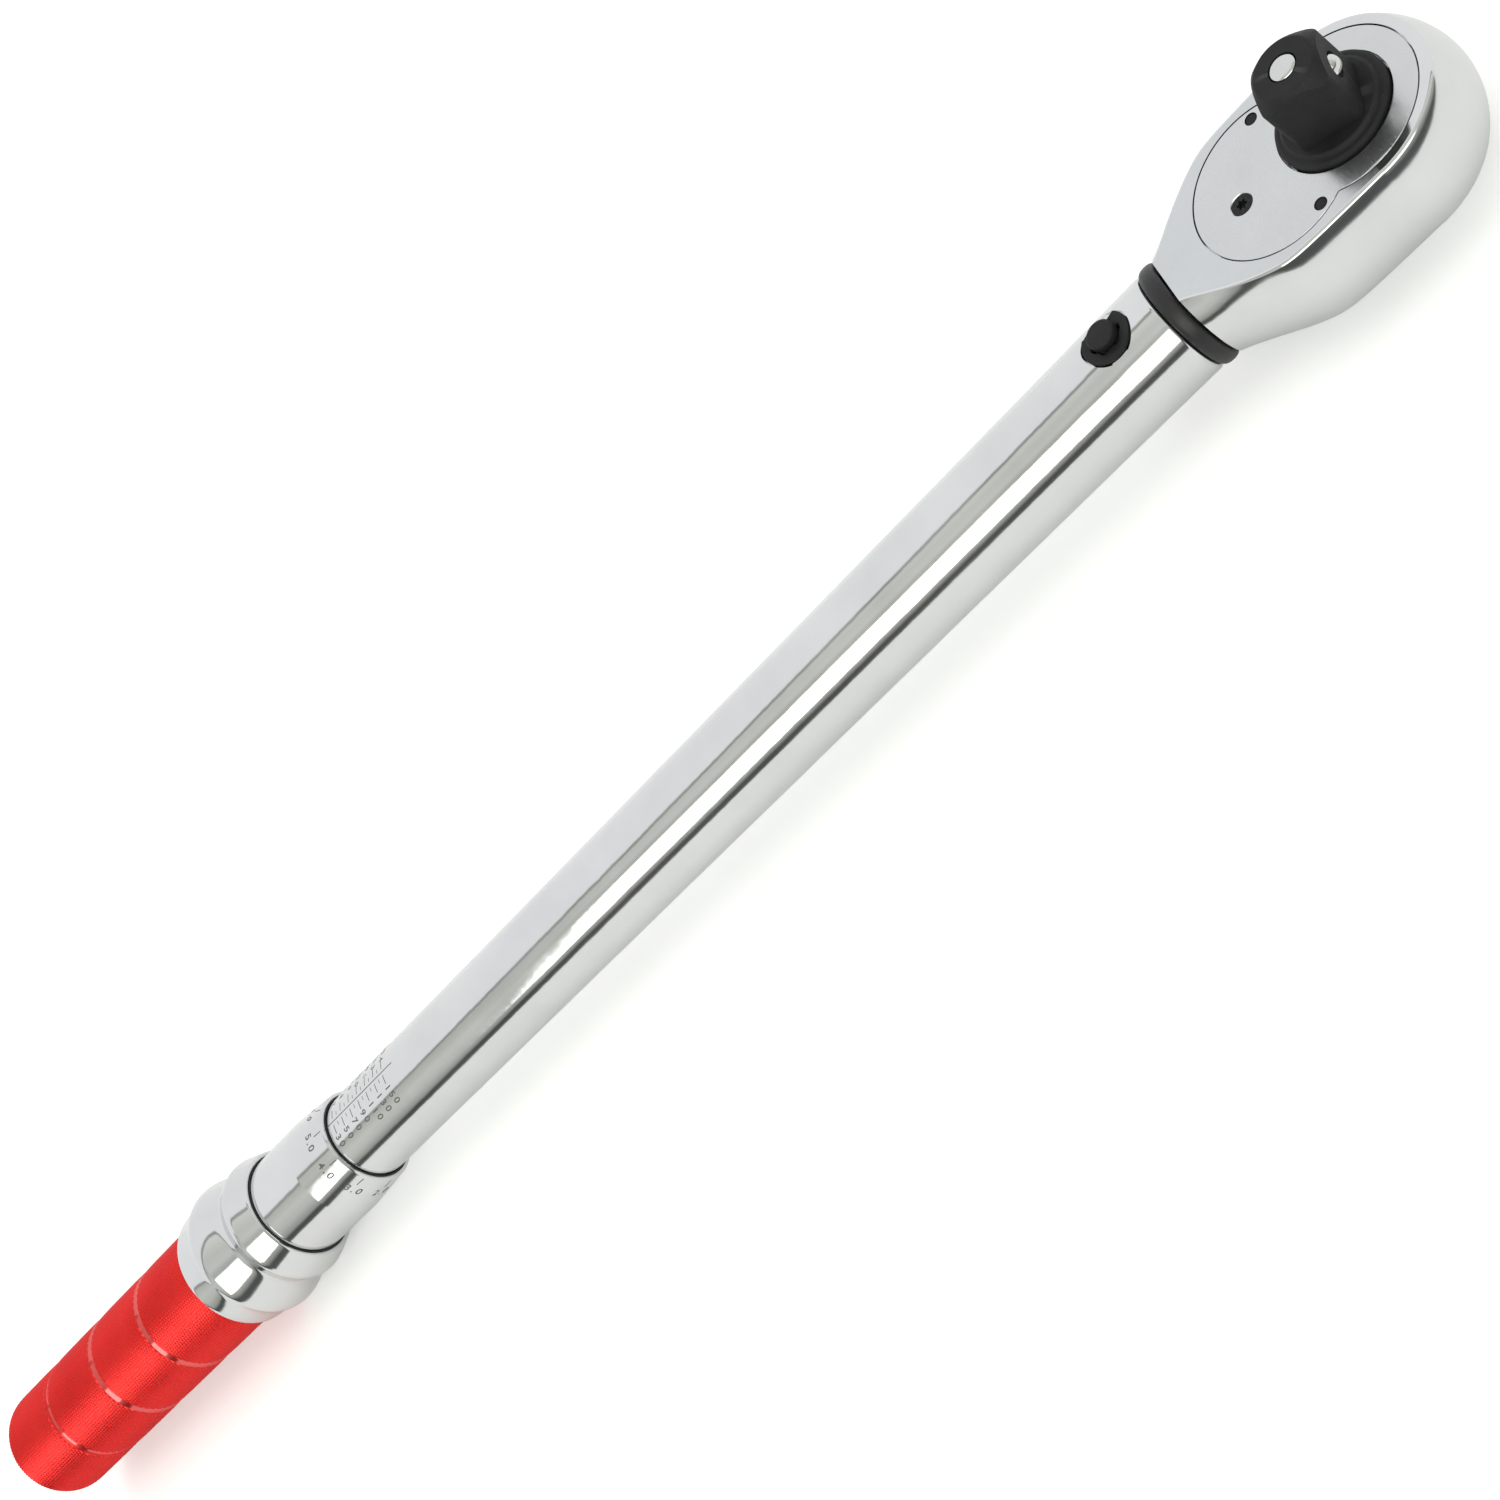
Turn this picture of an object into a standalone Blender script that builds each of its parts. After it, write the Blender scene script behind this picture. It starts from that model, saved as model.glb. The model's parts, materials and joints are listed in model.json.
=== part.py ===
"""A 1/2 inch drive micrometer torque wrench, 10 to 150 lbf.ft, as an assembly of separate pieces.

Frame: the wrench lies on its back. +X runs from the grip towards the head, +Z along the drive square
and Y across. The origin is on the drive axis, at the round pad on the back of the head.
Sizes below are in millimetres; every helper turns them into metres.
"""

from math import atan2, cos, hypot, pi, radians, sin, sqrt

import bmesh
import bpy
from mathutils import Matrix, Vector

MM = 0.001

# Head: a pear-shaped forging, as thick as it is flat, that runs into a round neck.
HEAD_HALF_THICKNESS = 10.3
PAD_RADIUS = 12.0
PAD_HEIGHT = 0.3
AXIS_Z = HEAD_HALF_THICKNESS + PAD_HEIGHT
HEAD_RADIUS = 21.0
HEAD_SIDE_ARC = 19.5
HEAD_EDGE_RADIUS = 0.9
NECK_RADIUS = 11.8
NECK_END_X = -39.8
HEAD_SIDE_SLOPE = 0.497
HEAD_SIDE_BLEND = 1.6
NECK_BLEND_START_X = -22.0
CAVITY_LOW_Z = -6.4

# Drive: boss, square, release pin and detent ball.
SQUARE = 12.7
SQUARE_ACROSS_CORNERS = 16.4
SQUARE_TURN = radians(-19.4)
SQUARE_BASE_Z = 12.3
SQUARE_END_Z = 26.4
SQUARE_END_RADIUS = 5.7
BOSS_RADIUS = 11.0
TEETH = 36
GEAR_TIP_RADIUS = 13.2
GEAR_ROOT_RADIUS = 12.1
GEAR_LOW_Z = -5.4
GEAR_HIGH_Z = 7.8
RELEASE_PIN_RADIUS = 2.5
BALL_RADIUS = 2.35
BALL_PROUD = 1.0
BALL_Z = 20.0

# Cover plate: two overlapping circles, flush in the drive side of the head.
PLATE_RADIUS_DRIVE = 15.9
PLATE_RADIUS_PAWL = 15.7
PLATE_PAWL_X = -14.6
PLATE_THICKNESS = 2.0
PLATE_LOW_Z = HEAD_HALF_THICKNESS - PLATE_THICKNESS
PLATE_GAP = 0.25
COVER_PIN_X = -11.0
COVER_PIN_Y = 13.3
COVER_PIN_RADIUS = 1.2

# Pawl and reversing lever.
PAWL_PIN_X = -16.3
PAWL_PIN_RADIUS = 1.5
PAWL_ROCK = radians(8.0)
SPINDLE_X = -21.2
LEVER_SWING = radians(22.0)
LEVER_LOW_Z = -16.9
LEVER_HIGH_Z = -10.7

# Tube, with the pin that the head tilts on.
TUBE_RADIUS = 11.4
TUBE_BORE = 9.2
TUBE_FRONT_X = -44.0
TUBE_REAR_X = -368.0
PIVOT_X = -54.4
PIVOT_RADIUS = 2.8
SPOT_FACE_Z = 10.1
SPOT_FACE_RADIUS = 6.2
CLIP_RADIUS = 5.3
SEAL_X = -41.95
SEAL_MAJOR = 10.55
SEAL_MINOR = 1.4

# Click mechanism and load spring, inside the tube.
SHANK_END_X = -96.0
BLOCK_FRONT_X = -96.6
BLOCK_REAR_X = -108.4
PLUNGER_FRONT_X = -108.8
PLUNGER_REAR_X = -128.0
SEAT_FRONT_X = -286.4
SEAT_REAR_X = -296.0
SPRING_TURNS = 14
SPRING_WIRE_RADIUS = 1.5
SPRING_MEAN_RADIUS = 7.15

# Handle: micrometer sleeve, lock collar, grip and the screw inside them.
SLEEVE_MOUTH_X = -317.3
SLEEVE_RADIUS = 14.0
SLEEVE_BORE = 11.75
COLLAR_FRONT_X = -347.8
COLLAR_REAR_X = -378.0
GRIP_FRONT_X = -366.0
GRIP_END_X = -474.5
GRIP_RADIUS = 15.5
GRIP_END_ROUND = 5.5
GROOVE_X = (-402.0, -425.8, -449.6)
GROOVE_HALF_WIDTH = 1.2
GROOVE_DEPTH = 0.8
SCREW_RADIUS = 5.9
SCREW_FRONT_X = -301.6
SCREW_REAR_X = -456.0
LOCK_BALLS = 3
LOCK_BALL_X = -352.5
SET_SCREW_X = -373.0
SET_SCREW_ANGLE = radians(-90)

# Clearance between neighbours, and the facets of a turn.
GAP = 0.3
FINE = 32
MEDIUM = 24
COARSE = 16

MATERIALS = {
    "chrome": ((0.78, 0.79, 0.80), 0.12, 1.0),
    "satin_steel": ((0.62, 0.63, 0.64), 0.32, 1.0),
    "black_oxide": ((0.03, 0.03, 0.035), 0.42, 0.8),
    "spring_steel": ((0.36, 0.36, 0.38), 0.35, 1.0),
    "rubber": ((0.02, 0.02, 0.02), 0.75, 0.0),
    "brass": ((0.72, 0.55, 0.28), 0.35, 1.0),
    "red_anodised": ((0.70, 0.03, 0.03), 0.35, 0.9),
}


def clear_scene():
    for obj in list(bpy.data.objects):
        bpy.data.objects.remove(obj, do_unlink=True)


def new_collection(name):
    collection = bpy.data.collections.new(name)
    bpy.context.scene.collection.children.link(collection)
    return collection


def new_material(name):
    colour, roughness, metallic = MATERIALS[name]
    material = bpy.data.materials.new(name)
    material.use_nodes = True
    shader = material.node_tree.nodes["Principled BSDF"]
    shader.inputs["Base Color"].default_value = (*colour, 1.0)
    shader.inputs["Roughness"].default_value = roughness
    shader.inputs["Metallic"].default_value = metallic
    return material


clear_scene()
PARTS = new_collection("torque_wrench")
CUTTERS = new_collection("cutters")
MATERIAL = {name: new_material(name) for name in MATERIALS}
IN_WRENCH = Matrix.Translation((0.0, 0.0, AXIS_Z * MM))
ALONG_X = IN_WRENCH @ Matrix.Rotation(pi / 2, 4, "Y")


def place(name, mesh, matrix, material=None):
    """An object of the wrench or, without a material, a cutter that neither renders nor exports."""
    obj = bpy.data.objects.new(name, mesh)
    obj.matrix_world = matrix
    if material is None:
        CUTTERS.objects.link(obj)
        obj.hide_render = True
        obj.display_type = "WIRE"
    else:
        PARTS.objects.link(obj)
        mesh.materials.append(MATERIAL[material])
        mesh.shade_smooth()
        mesh.set_sharp_from_angle(angle=radians(35))
    return obj


def turned(name, profile, material=None, matrix=ALONG_X, steps=FINE, ring=False):
    """A turned solid. The profile is (height, radius) down its side, and a ring's comes back up inside.

    A solid profile is closed on the axis at both ends.
    """
    points = [Vector((radius * MM, 0.0, height * MM)) for height, radius in profile]
    if not ring:
        points.insert(0, Vector((0.0, 0.0, points[0].z)))
        points.append(Vector((0.0, 0.0, points[-1].z)))
    edges = [(i, i + 1) for i in range(len(points) - 1)]
    if ring:
        edges.append((len(points) - 1, 0))
    mesh = bpy.data.meshes.new(name)
    mesh.from_pydata(points, edges, [])
    obj = place(name, mesh, matrix, material)
    screw = obj.modifiers.new("turn", "SCREW")
    screw.steps = steps
    screw.render_steps = steps
    screw.use_merge_vertices = True
    screw.merge_threshold = 0.00001
    screw.use_smooth_shade = True
    return obj


def pin_profile(low, high, radius, chamfer=0.0):
    if not chamfer:
        return [(high, radius), (low, radius)]
    inner = radius - chamfer
    return [(high, inner), (high - chamfer, radius), (low + chamfer, radius), (low, inner)]


def across_z(x, y=0.0, turn=0.0):
    """A frame whose Z is parallel to the drive axis, at x, y and at the height of the tube's axis."""
    return IN_WRENCH @ Matrix.Translation((x * MM, y * MM, 0.0)) @ Matrix.Rotation(turn, 4, "Z")


def pin(name, low, high, radius, material=None, matrix=IN_WRENCH, steps=COARSE, chamfer=0.0):
    return turned(name, pin_profile(low, high, radius, chamfer), material, matrix, steps)


def flat(name, outlines, low, high, material=None, matrix=IN_WRENCH):
    """A flat piece from low to high along Z, filled between closed outlines of (x, y)."""
    curve = bpy.data.curves.new(name + "_outline", "CURVE")
    curve.dimensions = "2D"
    curve.fill_mode = "BOTH"
    curve.extrude = (high - low) / 2 * MM
    for outline in outlines:
        spline = curve.splines.new("POLY")
        spline.points.add(len(outline) - 1)
        for point, (x, y) in zip(spline.points, outline):
            point.co = (x * MM, y * MM, 0.0, 1.0)
        spline.use_cyclic_u = True
    guide = bpy.data.objects.new(name + "_outline", curve)
    mesh = meshed(name, guide)
    obj = place(name, mesh, matrix @ Matrix.Translation((0, 0, (low + high) / 2 * MM)), material)
    return obj


def meshed(name, guide):
    """The closed mesh of a curve object, which is then removed."""
    bpy.context.scene.collection.objects.link(guide)
    graph = bpy.context.evaluated_depsgraph_get()
    mesh = bpy.data.meshes.new_from_object(guide.evaluated_get(graph))
    mesh.name = name
    bpy.data.objects.remove(guide, do_unlink=True)
    shape = bmesh.new()
    shape.from_mesh(mesh)
    bmesh.ops.remove_doubles(shape, verts=shape.verts, dist=0.000005)
    bmesh.ops.recalc_face_normals(shape, faces=shape.faces)
    shape.to_mesh(mesh)
    shape.free()
    mesh.materials.clear()
    return mesh


def sphere(name, radius, material, matrix, segments=14, rings=8):
    shape = bmesh.new()
    bmesh.ops.create_uvsphere(shape, u_segments=segments, v_segments=rings, radius=radius * MM)
    mesh = bpy.data.meshes.new(name)
    shape.to_mesh(mesh)
    shape.free()
    return place(name, mesh, matrix, material)


def box(name, low, high, material=None, matrix=IN_WRENCH):
    size = [b - a for a, b in zip(low, high)]
    centre = [(a + b) / 2 for a, b in zip(low, high)]
    shape = bmesh.new()
    bmesh.ops.create_cube(shape, size=1.0)
    bmesh.ops.scale(shape, verts=shape.verts, vec=[s * MM for s in size])
    bmesh.ops.translate(shape, verts=shape.verts, vec=[c * MM for c in centre])
    mesh = bpy.data.meshes.new(name)
    shape.to_mesh(mesh)
    shape.free()
    return place(name, mesh, matrix, material)


def coil(name, start, end, mean_radius, wire_radius, turns, material, matrix, per_turn=8, facets=1):
    """A compression spring along Z, with its last turn at each end lying flat."""
    guide_curve = bpy.data.curves.new(name, "CURVE")
    guide_curve.dimensions = "3D"
    guide_curve.bevel_depth = wire_radius * MM
    guide_curve.bevel_resolution = facets
    guide_curve.use_fill_caps = True
    count = turns * per_turn + 1
    dead = 2 * wire_radius * 1.08
    length = end - start
    active = turns - 2
    spline = guide_curve.splines.new("POLY")
    spline.points.add(count - 1)
    for index, point in enumerate(spline.points):
        turn = index / per_turn
        if turn < 1:
            height = dead * turn
        elif turn > turns - 1:
            height = length - dead * (turns - turn)
        else:
            height = dead + (length - 2 * dead) * (turn - 1) / active
        angle = 2 * pi * turn
        point.co = (
            mean_radius * cos(angle) * MM,
            mean_radius * sin(angle) * MM,
            (start + height) * MM,
            1.0,
        )
    guide = bpy.data.objects.new(name + "_guide", guide_curve)
    return place(name, meshed(name, guide), matrix, material)


def boolean(obj, cutter, operation="DIFFERENCE"):
    modifier = obj.modifiers.new(cutter.name, "BOOLEAN")
    modifier.operation = operation
    modifier.solver = "EXACT"
    modifier.object = cutter
    return obj


def drill(obj, low, high, radius, matrix=IN_WRENCH, steps=COARSE):
    """Cuts a round hole, whose facets are turned a little so that no edge meets another head on."""
    name = f"{obj.name}_hole_{len(obj.modifiers)}"
    off_line = matrix @ Matrix.Rotation(radians(2.9), 4, "Z")
    return boolean(obj, pin(name, low, high, radius, None, off_line, steps))


def arc(centre_x, centre_y, radius, start, end, count):
    step = (end - start) / (count - 1)
    angles = [start + step * i for i in range(count)]
    return [(centre_x + radius * cos(a), centre_y + radius * sin(a)) for a in angles]


def circle(centre_x, radius, count):
    return arc(centre_x, 0.0, radius, 0.0, 2 * pi * (1 - 1 / count), count)


# ---------------------------------------------------------------- head


def smooth_step(value):
    value = min(max(value, 0.0), 1.0)
    return value * value * (3 - 2 * value)


def head_half_width(x):
    """Half the head's width behind the drive axis: straight sides that taper to the neck."""
    taper = NECK_RADIUS + HEAD_SIDE_SLOPE * (x - NECK_END_X)
    return (HEAD_RADIUS + taper - hypot(HEAD_RADIUS - taper, HEAD_SIDE_BLEND)) / 2


def head_inset(x, z):
    """How far the surface at height z lies inside the widest outline: a bulging side, rounded at its edge."""
    neck = smooth_step((NECK_BLEND_START_X - x) / (NECK_BLEND_START_X - NECK_END_X))
    bulge = HEAD_SIDE_ARC + neck * (NECK_RADIUS - HEAD_SIDE_ARC)
    edge_z = (HEAD_HALF_THICKNESS - HEAD_EDGE_RADIUS) / (1 - HEAD_EDGE_RADIUS / bulge)
    if abs(z) <= edge_z:
        return bulge - sqrt(bulge * bulge - z * z)
    tilt = sqrt(1 - (edge_z / bulge) ** 2)
    rise = (abs(z) - HEAD_HALF_THICKNESS + HEAD_EDGE_RADIUS) / HEAD_EDGE_RADIUS
    inset = bulge - sqrt(bulge * bulge - edge_z * edge_z)
    return inset + HEAD_EDGE_RADIUS * (tilt - sqrt(max(1 - rise * rise, 0.0)))


def head_outline(z, front_count=9, side_count=11):
    front = HEAD_RADIUS - head_inset(0.0, z)
    half = arc(0.0, 0.0, front, 0.0, pi / 2, front_count)
    for index in range(1, side_count):
        x = NECK_END_X * index / (side_count - 1)
        half.append((x, head_half_width(x) - head_inset(x, z)))
    return half + [(x, -y) for x, y in reversed(half[1:])]


def head_body():
    """The forging as a stack of outlines, which narrow towards both flat faces."""
    upper = [3.4, 6.2, 8.4, 9.75, 10.15, HEAD_HALF_THICKNESS]
    levels = [-z for z in reversed(upper)] + [0.0] + upper
    shape = bmesh.new()
    rings = []
    for z in levels:
        ring = [shape.verts.new((x * MM, y * MM, z * MM)) for x, y in head_outline(z)]
        rings.append(ring)
    for lower, higher in zip(rings, rings[1:]):
        for i in range(len(lower)):
            j = (i + 1) % len(lower)
            shape.faces.new((lower[i], lower[j], higher[j], higher[i]))
    shape.faces.new(list(reversed(rings[0])))
    shape.faces.new(rings[-1])
    bmesh.ops.recalc_face_normals(shape, faces=shape.faces)
    mesh = bpy.data.meshes.new("ratchet_head")
    shape.to_mesh(mesh)
    shape.free()
    return place("ratchet_head", mesh, IN_WRENCH, "chrome")


def plate_outline(grow=0.0, count=22):
    """Two overlapping circles, which meet in a shallow notch on each side."""
    drive, pawl = PLATE_RADIUS_DRIVE + grow, PLATE_RADIUS_PAWL + grow
    centre = PLATE_PAWL_X
    meet_x = (drive**2 - pawl**2 + centre**2) / (2 * centre)
    meet_y = sqrt(drive**2 - meet_x**2)
    drive_end = atan2(meet_y, meet_x)
    pawl_start = atan2(meet_y, meet_x - centre)
    front = arc(0.0, 0.0, drive, -drive_end, drive_end, count)
    rear = arc(centre, 0.0, pawl, pawl_start, 2 * pi - pawl_start, count)
    return front + rear[1:-1]


def make_ratchet_head():
    head = head_body()
    shank = turned(
        "head_shank",
        [(-34.0, 8.0), (-62.0, 8.0), (-66.0, 7.0), (SHANK_END_X + 1.0, 7.0), (SHANK_END_X, 6.0)],
    )
    boolean(head, shank, "UNION")
    pad_top = 1.2 - HEAD_HALF_THICKNESS
    pad = pin("back_pad", -HEAD_HALF_THICKNESS - PAD_HEIGHT, pad_top, PAD_RADIUS, steps=FINE)
    boolean(head, pad, "UNION")
    recess = flat("plate_recess", [plate_outline(PLATE_GAP)], PLATE_LOW_Z - 0.2, 12.0)
    boolean(head, recess)
    drill(head, CAVITY_LOW_Z, PLATE_LOW_Z, GEAR_TIP_RADIUS + 1.0, IN_WRENCH, FINE)
    drill(head, -8.7, CAVITY_LOW_Z + 0.5, 6.4, IN_WRENCH, MEDIUM)
    pocket = box("pawl_pocket", (-24.4, -8.6, CAVITY_LOW_Z + 0.04), (-9.0, 8.6, PLATE_LOW_Z + 0.04))
    boolean(head, pocket)
    drill(head, -12.0, 0.0, 3.3, across_z(SPINDLE_X))
    drill(head, -9.2, 0.0, PAWL_PIN_RADIUS + GAP, across_z(PAWL_PIN_X))
    drill(head, -12.0, 12.0, PIVOT_RADIUS + GAP, across_z(PIVOT_X), MEDIUM)
    for side in (1, -1):
        drill(head, 3.0, 9.0, COVER_PIN_RADIUS + GAP, across_z(COVER_PIN_X, side * COVER_PIN_Y))
    return head


def make_cover_plate():
    plate = flat(
        "cover_plate",
        [plate_outline(), list(reversed(circle(0.0, BOSS_RADIUS + GAP + 0.05, FINE)))],
        PLATE_LOW_Z,
        HEAD_HALF_THICKNESS,
        "satin_steel",
    )
    countersink = turned(
        "screw_countersink",
        [(11.3, 3.42), (PLATE_LOW_Z + 1.38, 1.8), (PLATE_LOW_Z - 0.5, 1.8)],
        None,
        across_z(SPINDLE_X),
        COARSE,
    )
    boolean(plate, countersink)
    for side in (1, -1):
        drill(plate, 6.0, 12.0, COVER_PIN_RADIUS + GAP, across_z(COVER_PIN_X, side * COVER_PIN_Y))
    return plate


def make_cover_pins():
    pins = []
    for index, side in ((1, 1), (2, -1)):
        place_at = across_z(COVER_PIN_X, side * COVER_PIN_Y)
        top = HEAD_HALF_THICKNESS - 0.05
        pins.append(pin(f"cover_pin_{index}", 3.5, top, COVER_PIN_RADIUS, "black_oxide", place_at))
    return pins


def make_thrust_washer():
    return turned(
        "thrust_washer",
        [(-5.7, 12.8), (-6.1, 12.8), (-6.1, 6.7), (-5.7, 6.7)],
        "brass",
        IN_WRENCH,
        MEDIUM,
        ring=True,
    )


def make_pawl_pin():
    return pin("pawl_pin", -9.0, 7.9, PAWL_PIN_RADIUS, "satin_steel", across_z(PAWL_PIN_X))


# ---------------------------------------------------------------- drive


def gear_outline():
    """Straight-sided teeth: a quarter of each pitch is tip, a quarter is root."""
    pitch = 2 * pi / TEETH
    points = []
    for tooth in range(TEETH):
        middle = tooth * pitch
        for offset, radius in ((-0.375, GEAR_ROOT_RADIUS), (-0.125, GEAR_TIP_RADIUS),
                               (0.125, GEAR_TIP_RADIUS), (0.375, GEAR_ROOT_RADIUS)):
            angle = middle + offset * pitch
            points.append((radius * cos(angle), radius * sin(angle)))
    return points


def square_outline():
    """The drive square, with its corners rounded to the standard size across them."""
    cut = (SQUARE * sqrt(2) - SQUARE_ACROSS_CORNERS) / 2
    corner = cut / (sqrt(2) - 1)
    inner = SQUARE / 2 - corner
    points = []
    for quarter in range(4):
        start = quarter * pi / 2
        centre_angle = start + pi / 4
        x = inner * sqrt(2) * cos(centre_angle)
        y = inner * sqrt(2) * sin(centre_angle)
        points += arc(x, y, corner, start, start + pi / 2, 4)
    return points


def make_drive_gear():
    gear = flat("drive_gear", [gear_outline()], GEAR_LOW_Z, GEAR_HIGH_Z, "black_oxide")
    boss = turned(
        "drive_boss",
        [
            (SQUARE_BASE_Z, 9.0),
            (SQUARE_BASE_Z - 0.5, 9.6),
            (11.5, 9.6),
            (11.5, 10.4),
            (11.1, BOSS_RADIUS),
            (4.0, BOSS_RADIUS),
            (-7.0, 6.0),
            (-8.4, 6.0),
        ],
        None,
        IN_WRENCH,
        FINE,
    )
    boolean(gear, boss, "UNION")
    square = flat("drive_square", [square_outline()], 9.0, SQUARE_END_Z + 1.0, None,
                  across_z(0.0, 0.0, SQUARE_TURN))
    corner = SQUARE_ACROSS_CORNERS / 2
    chamfer = corner + 1.0 - SQUARE_END_RADIUS
    end_cone = turned(
        "drive_end_cone",
        [
            (SQUARE_END_Z, SQUARE_END_RADIUS),
            (SQUARE_END_Z - chamfer, corner + 1.0),
            (8.0, corner + 1.0),
        ],
        None,
        IN_WRENCH,
        FINE,
    )
    boolean(square, end_cone, "INTERSECT")
    boolean(gear, square, "UNION")
    drill(gear, 2.0, 30.0, RELEASE_PIN_RADIUS + GAP, IN_WRENCH, MEDIUM)
    sideways = IN_WRENCH @ Matrix.Rotation(SQUARE_TURN, 4, "Z") @ Matrix.Rotation(pi / 2, 4, "Y")
    sideways = Matrix.Translation((0, 0, BALL_Z * MM)) @ sideways
    drill(gear, 0.5, 12.0, BALL_RADIUS + 0.25, sideways, MEDIUM)
    return gear


def make_release_pin():
    """Its wide end is the button; the waist above the ball lets the ball in when the pin is pushed."""
    return turned(
        "release_pin",
        [
            (SQUARE_END_Z + 0.25, 2.1),
            (SQUARE_END_Z - 0.1, RELEASE_PIN_RADIUS),
            (25.0, RELEASE_PIN_RADIUS),
            (24.0, 1.3),
            (BALL_Z + 1.3, 1.3),
            (BALL_Z + 0.3, 2.3),
            (14.0, 2.3),
            (13.0, 1.1),
            (8.0, 1.1),
        ],
        "satin_steel",
        IN_WRENCH,
        MEDIUM,
    )


def make_release_spring():
    return coil("release_spring", 2.6, 12.4, 1.9, 0.32, 5, "spring_steel", IN_WRENCH)


def make_detent_ball():
    out = SQUARE / 2 + BALL_PROUD - BALL_RADIUS
    place_at = IN_WRENCH @ Matrix.Translation(
        (out * cos(SQUARE_TURN) * MM, out * sin(SQUARE_TURN) * MM, BALL_Z * MM)
    )
    return sphere("detent_ball", BALL_RADIUS, "satin_steel", place_at, 16, 10)


# ---------------------------------------------------------------- pawl and reversing lever


def pawl_outline():
    """A rocker with teeth on both front corners, drawn level; it is rocked onto one corner at rest.

    Each toothed corner follows the gear's pitch when the pawl is rocked towards it.
    """
    tip = GEAR_ROOT_RADIUS + 0.32
    root = GEAR_TIP_RADIUS + 0.32
    pitch = 2 * pi / TEETH
    teeth = []
    for tooth in (2.5, 1.5):
        for offset, radius in ((0.36, root), (0.12, tip), (-0.12, tip), (-0.36, root)):
            angle = pi - (tooth + offset) * pitch
            teeth.append(rock((radius * cos(angle), radius * sin(angle)), PAWL_ROCK))
    upper = [(-18.4, 0.0), (-18.4, 3.0), (-17.6, 7.0), (-14.2, 7.4)] + teeth + [(-14.3, 1.4)]
    lower = [(x, -y) for x, y in reversed(upper[1:])]
    return upper + lower


def rock(point, angle):
    x, y = point[0] - PAWL_PIN_X, point[1]
    return (PAWL_PIN_X + x * cos(angle) - y * sin(angle), x * sin(angle) + y * cos(angle))


def make_pawl():
    level = [rock(point, PAWL_ROCK) for point in pawl_outline()]
    pawl = flat("pawl", [level], -5.0, 7.4, "satin_steel")
    drill(pawl, -8.0, 10.0, PAWL_PIN_RADIUS + GAP, across_z(PAWL_PIN_X))
    return pawl


def lever_outline():
    """A round thumb disc with a tapering tail towards the grip."""
    disc = arc(0.0, 0.0, 8.0, -radians(146), radians(146), 25)
    tail = arc(-15.5, 0.0, 3.2, radians(100), radians(260), 9)
    return disc + tail


def at_lever():
    return across_z(SPINDLE_X, 0.0, -LEVER_SWING)


def make_reverse_lever():
    lever = flat("reverse_lever", [lever_outline()], LEVER_LOW_Z, LEVER_HIGH_Z, "chrome", at_lever())
    bevel = lever.modifiers.new("soft_edges", "BEVEL")
    bevel.width = 0.9 * MM
    bevel.segments = 2
    bevel.limit_method = "ANGLE"
    bevel.angle_limit = radians(50)
    spindle = turned(
        "lever_spindle",
        [(7.6, 2.3), (-6.0, 2.3), (-6.0, 3.0), (LEVER_HIGH_Z - 1.0, 3.0)],
        None,
        at_lever(),
        COARSE,
    )
    boolean(lever, spindle, "UNION")
    drill(lever, 2.2, 9.0, 1.6, at_lever())
    cross = at_lever() @ Matrix.Translation((0, 0, -1.0 * MM)) @ Matrix.Rotation(pi / 2, 4, "Y")
    drill(lever, -1.3, 4.0, 1.1, cross, 16)
    return lever


def make_selector_plunger():
    cross = at_lever() @ Matrix.Translation((0, 0, -1.0 * MM)) @ Matrix.Rotation(pi / 2, 4, "Y")
    profile = [(2.55, 0.3), (2.3, 0.65), (1.9, 0.8), (1.1, 0.8)]
    return turned("selector_plunger", profile, "satin_steel", cross, 16)


def make_selector_spring():
    cross = at_lever() @ Matrix.Translation((0, 0, -1.0 * MM)) @ Matrix.Rotation(pi / 2, 4, "Y")
    return coil("selector_spring", -0.95, 0.75, 0.6, 0.14, 4, "spring_steel", cross, 6)


def make_selector_screw():
    """A countersunk screw with a six-lobed recess, turned into the lever's spindle."""
    top = HEAD_HALF_THICKNESS - 0.1
    profile = [(top, 2.2), (top - 0.85, 1.35), (3.0, 1.35), (2.6, 0.9)]
    screw = turned("selector_screw", profile, "black_oxide", at_lever(), 24)
    lobes = []
    for step in range(24):
        angle = 2 * pi * step / 24
        radius = 0.9 + 0.17 * cos(6 * angle)
        lobes.append((radius * cos(angle), radius * sin(angle)))
    recess = flat("screw_recess", [lobes], top - 0.9, top + 1.0, None, at_lever())
    return boolean(screw, recess)


# ---------------------------------------------------------------- tube and click mechanism


def make_torque_tube():
    tube = turned(
        "torque_tube",
        [
            (TUBE_FRONT_X, TUBE_RADIUS - 0.5),
            (TUBE_FRONT_X - 0.5, TUBE_RADIUS),
            (-90.0, TUBE_RADIUS),
            (-330.0, TUBE_RADIUS),
            (TUBE_REAR_X, TUBE_RADIUS),
            (TUBE_REAR_X, TUBE_BORE),
            (-330.0, TUBE_BORE),
            (-90.0, TUBE_BORE),
            (TUBE_FRONT_X, TUBE_BORE),
        ],
        "chrome",
        ring=True,
    )
    drill(tube, -14.0, 14.0, 1.5, at_nut_pins(), 16)
    at_pivot = across_z(PIVOT_X)
    drill(tube, SPOT_FACE_Z, 14.0, SPOT_FACE_RADIUS, at_pivot, MEDIUM)
    drill(tube, -14.0, -SPOT_FACE_Z, SPOT_FACE_RADIUS, at_pivot, MEDIUM)
    drill(tube, -13.0, 13.0, PIVOT_RADIUS + GAP, at_pivot, MEDIUM)
    return tube


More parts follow.
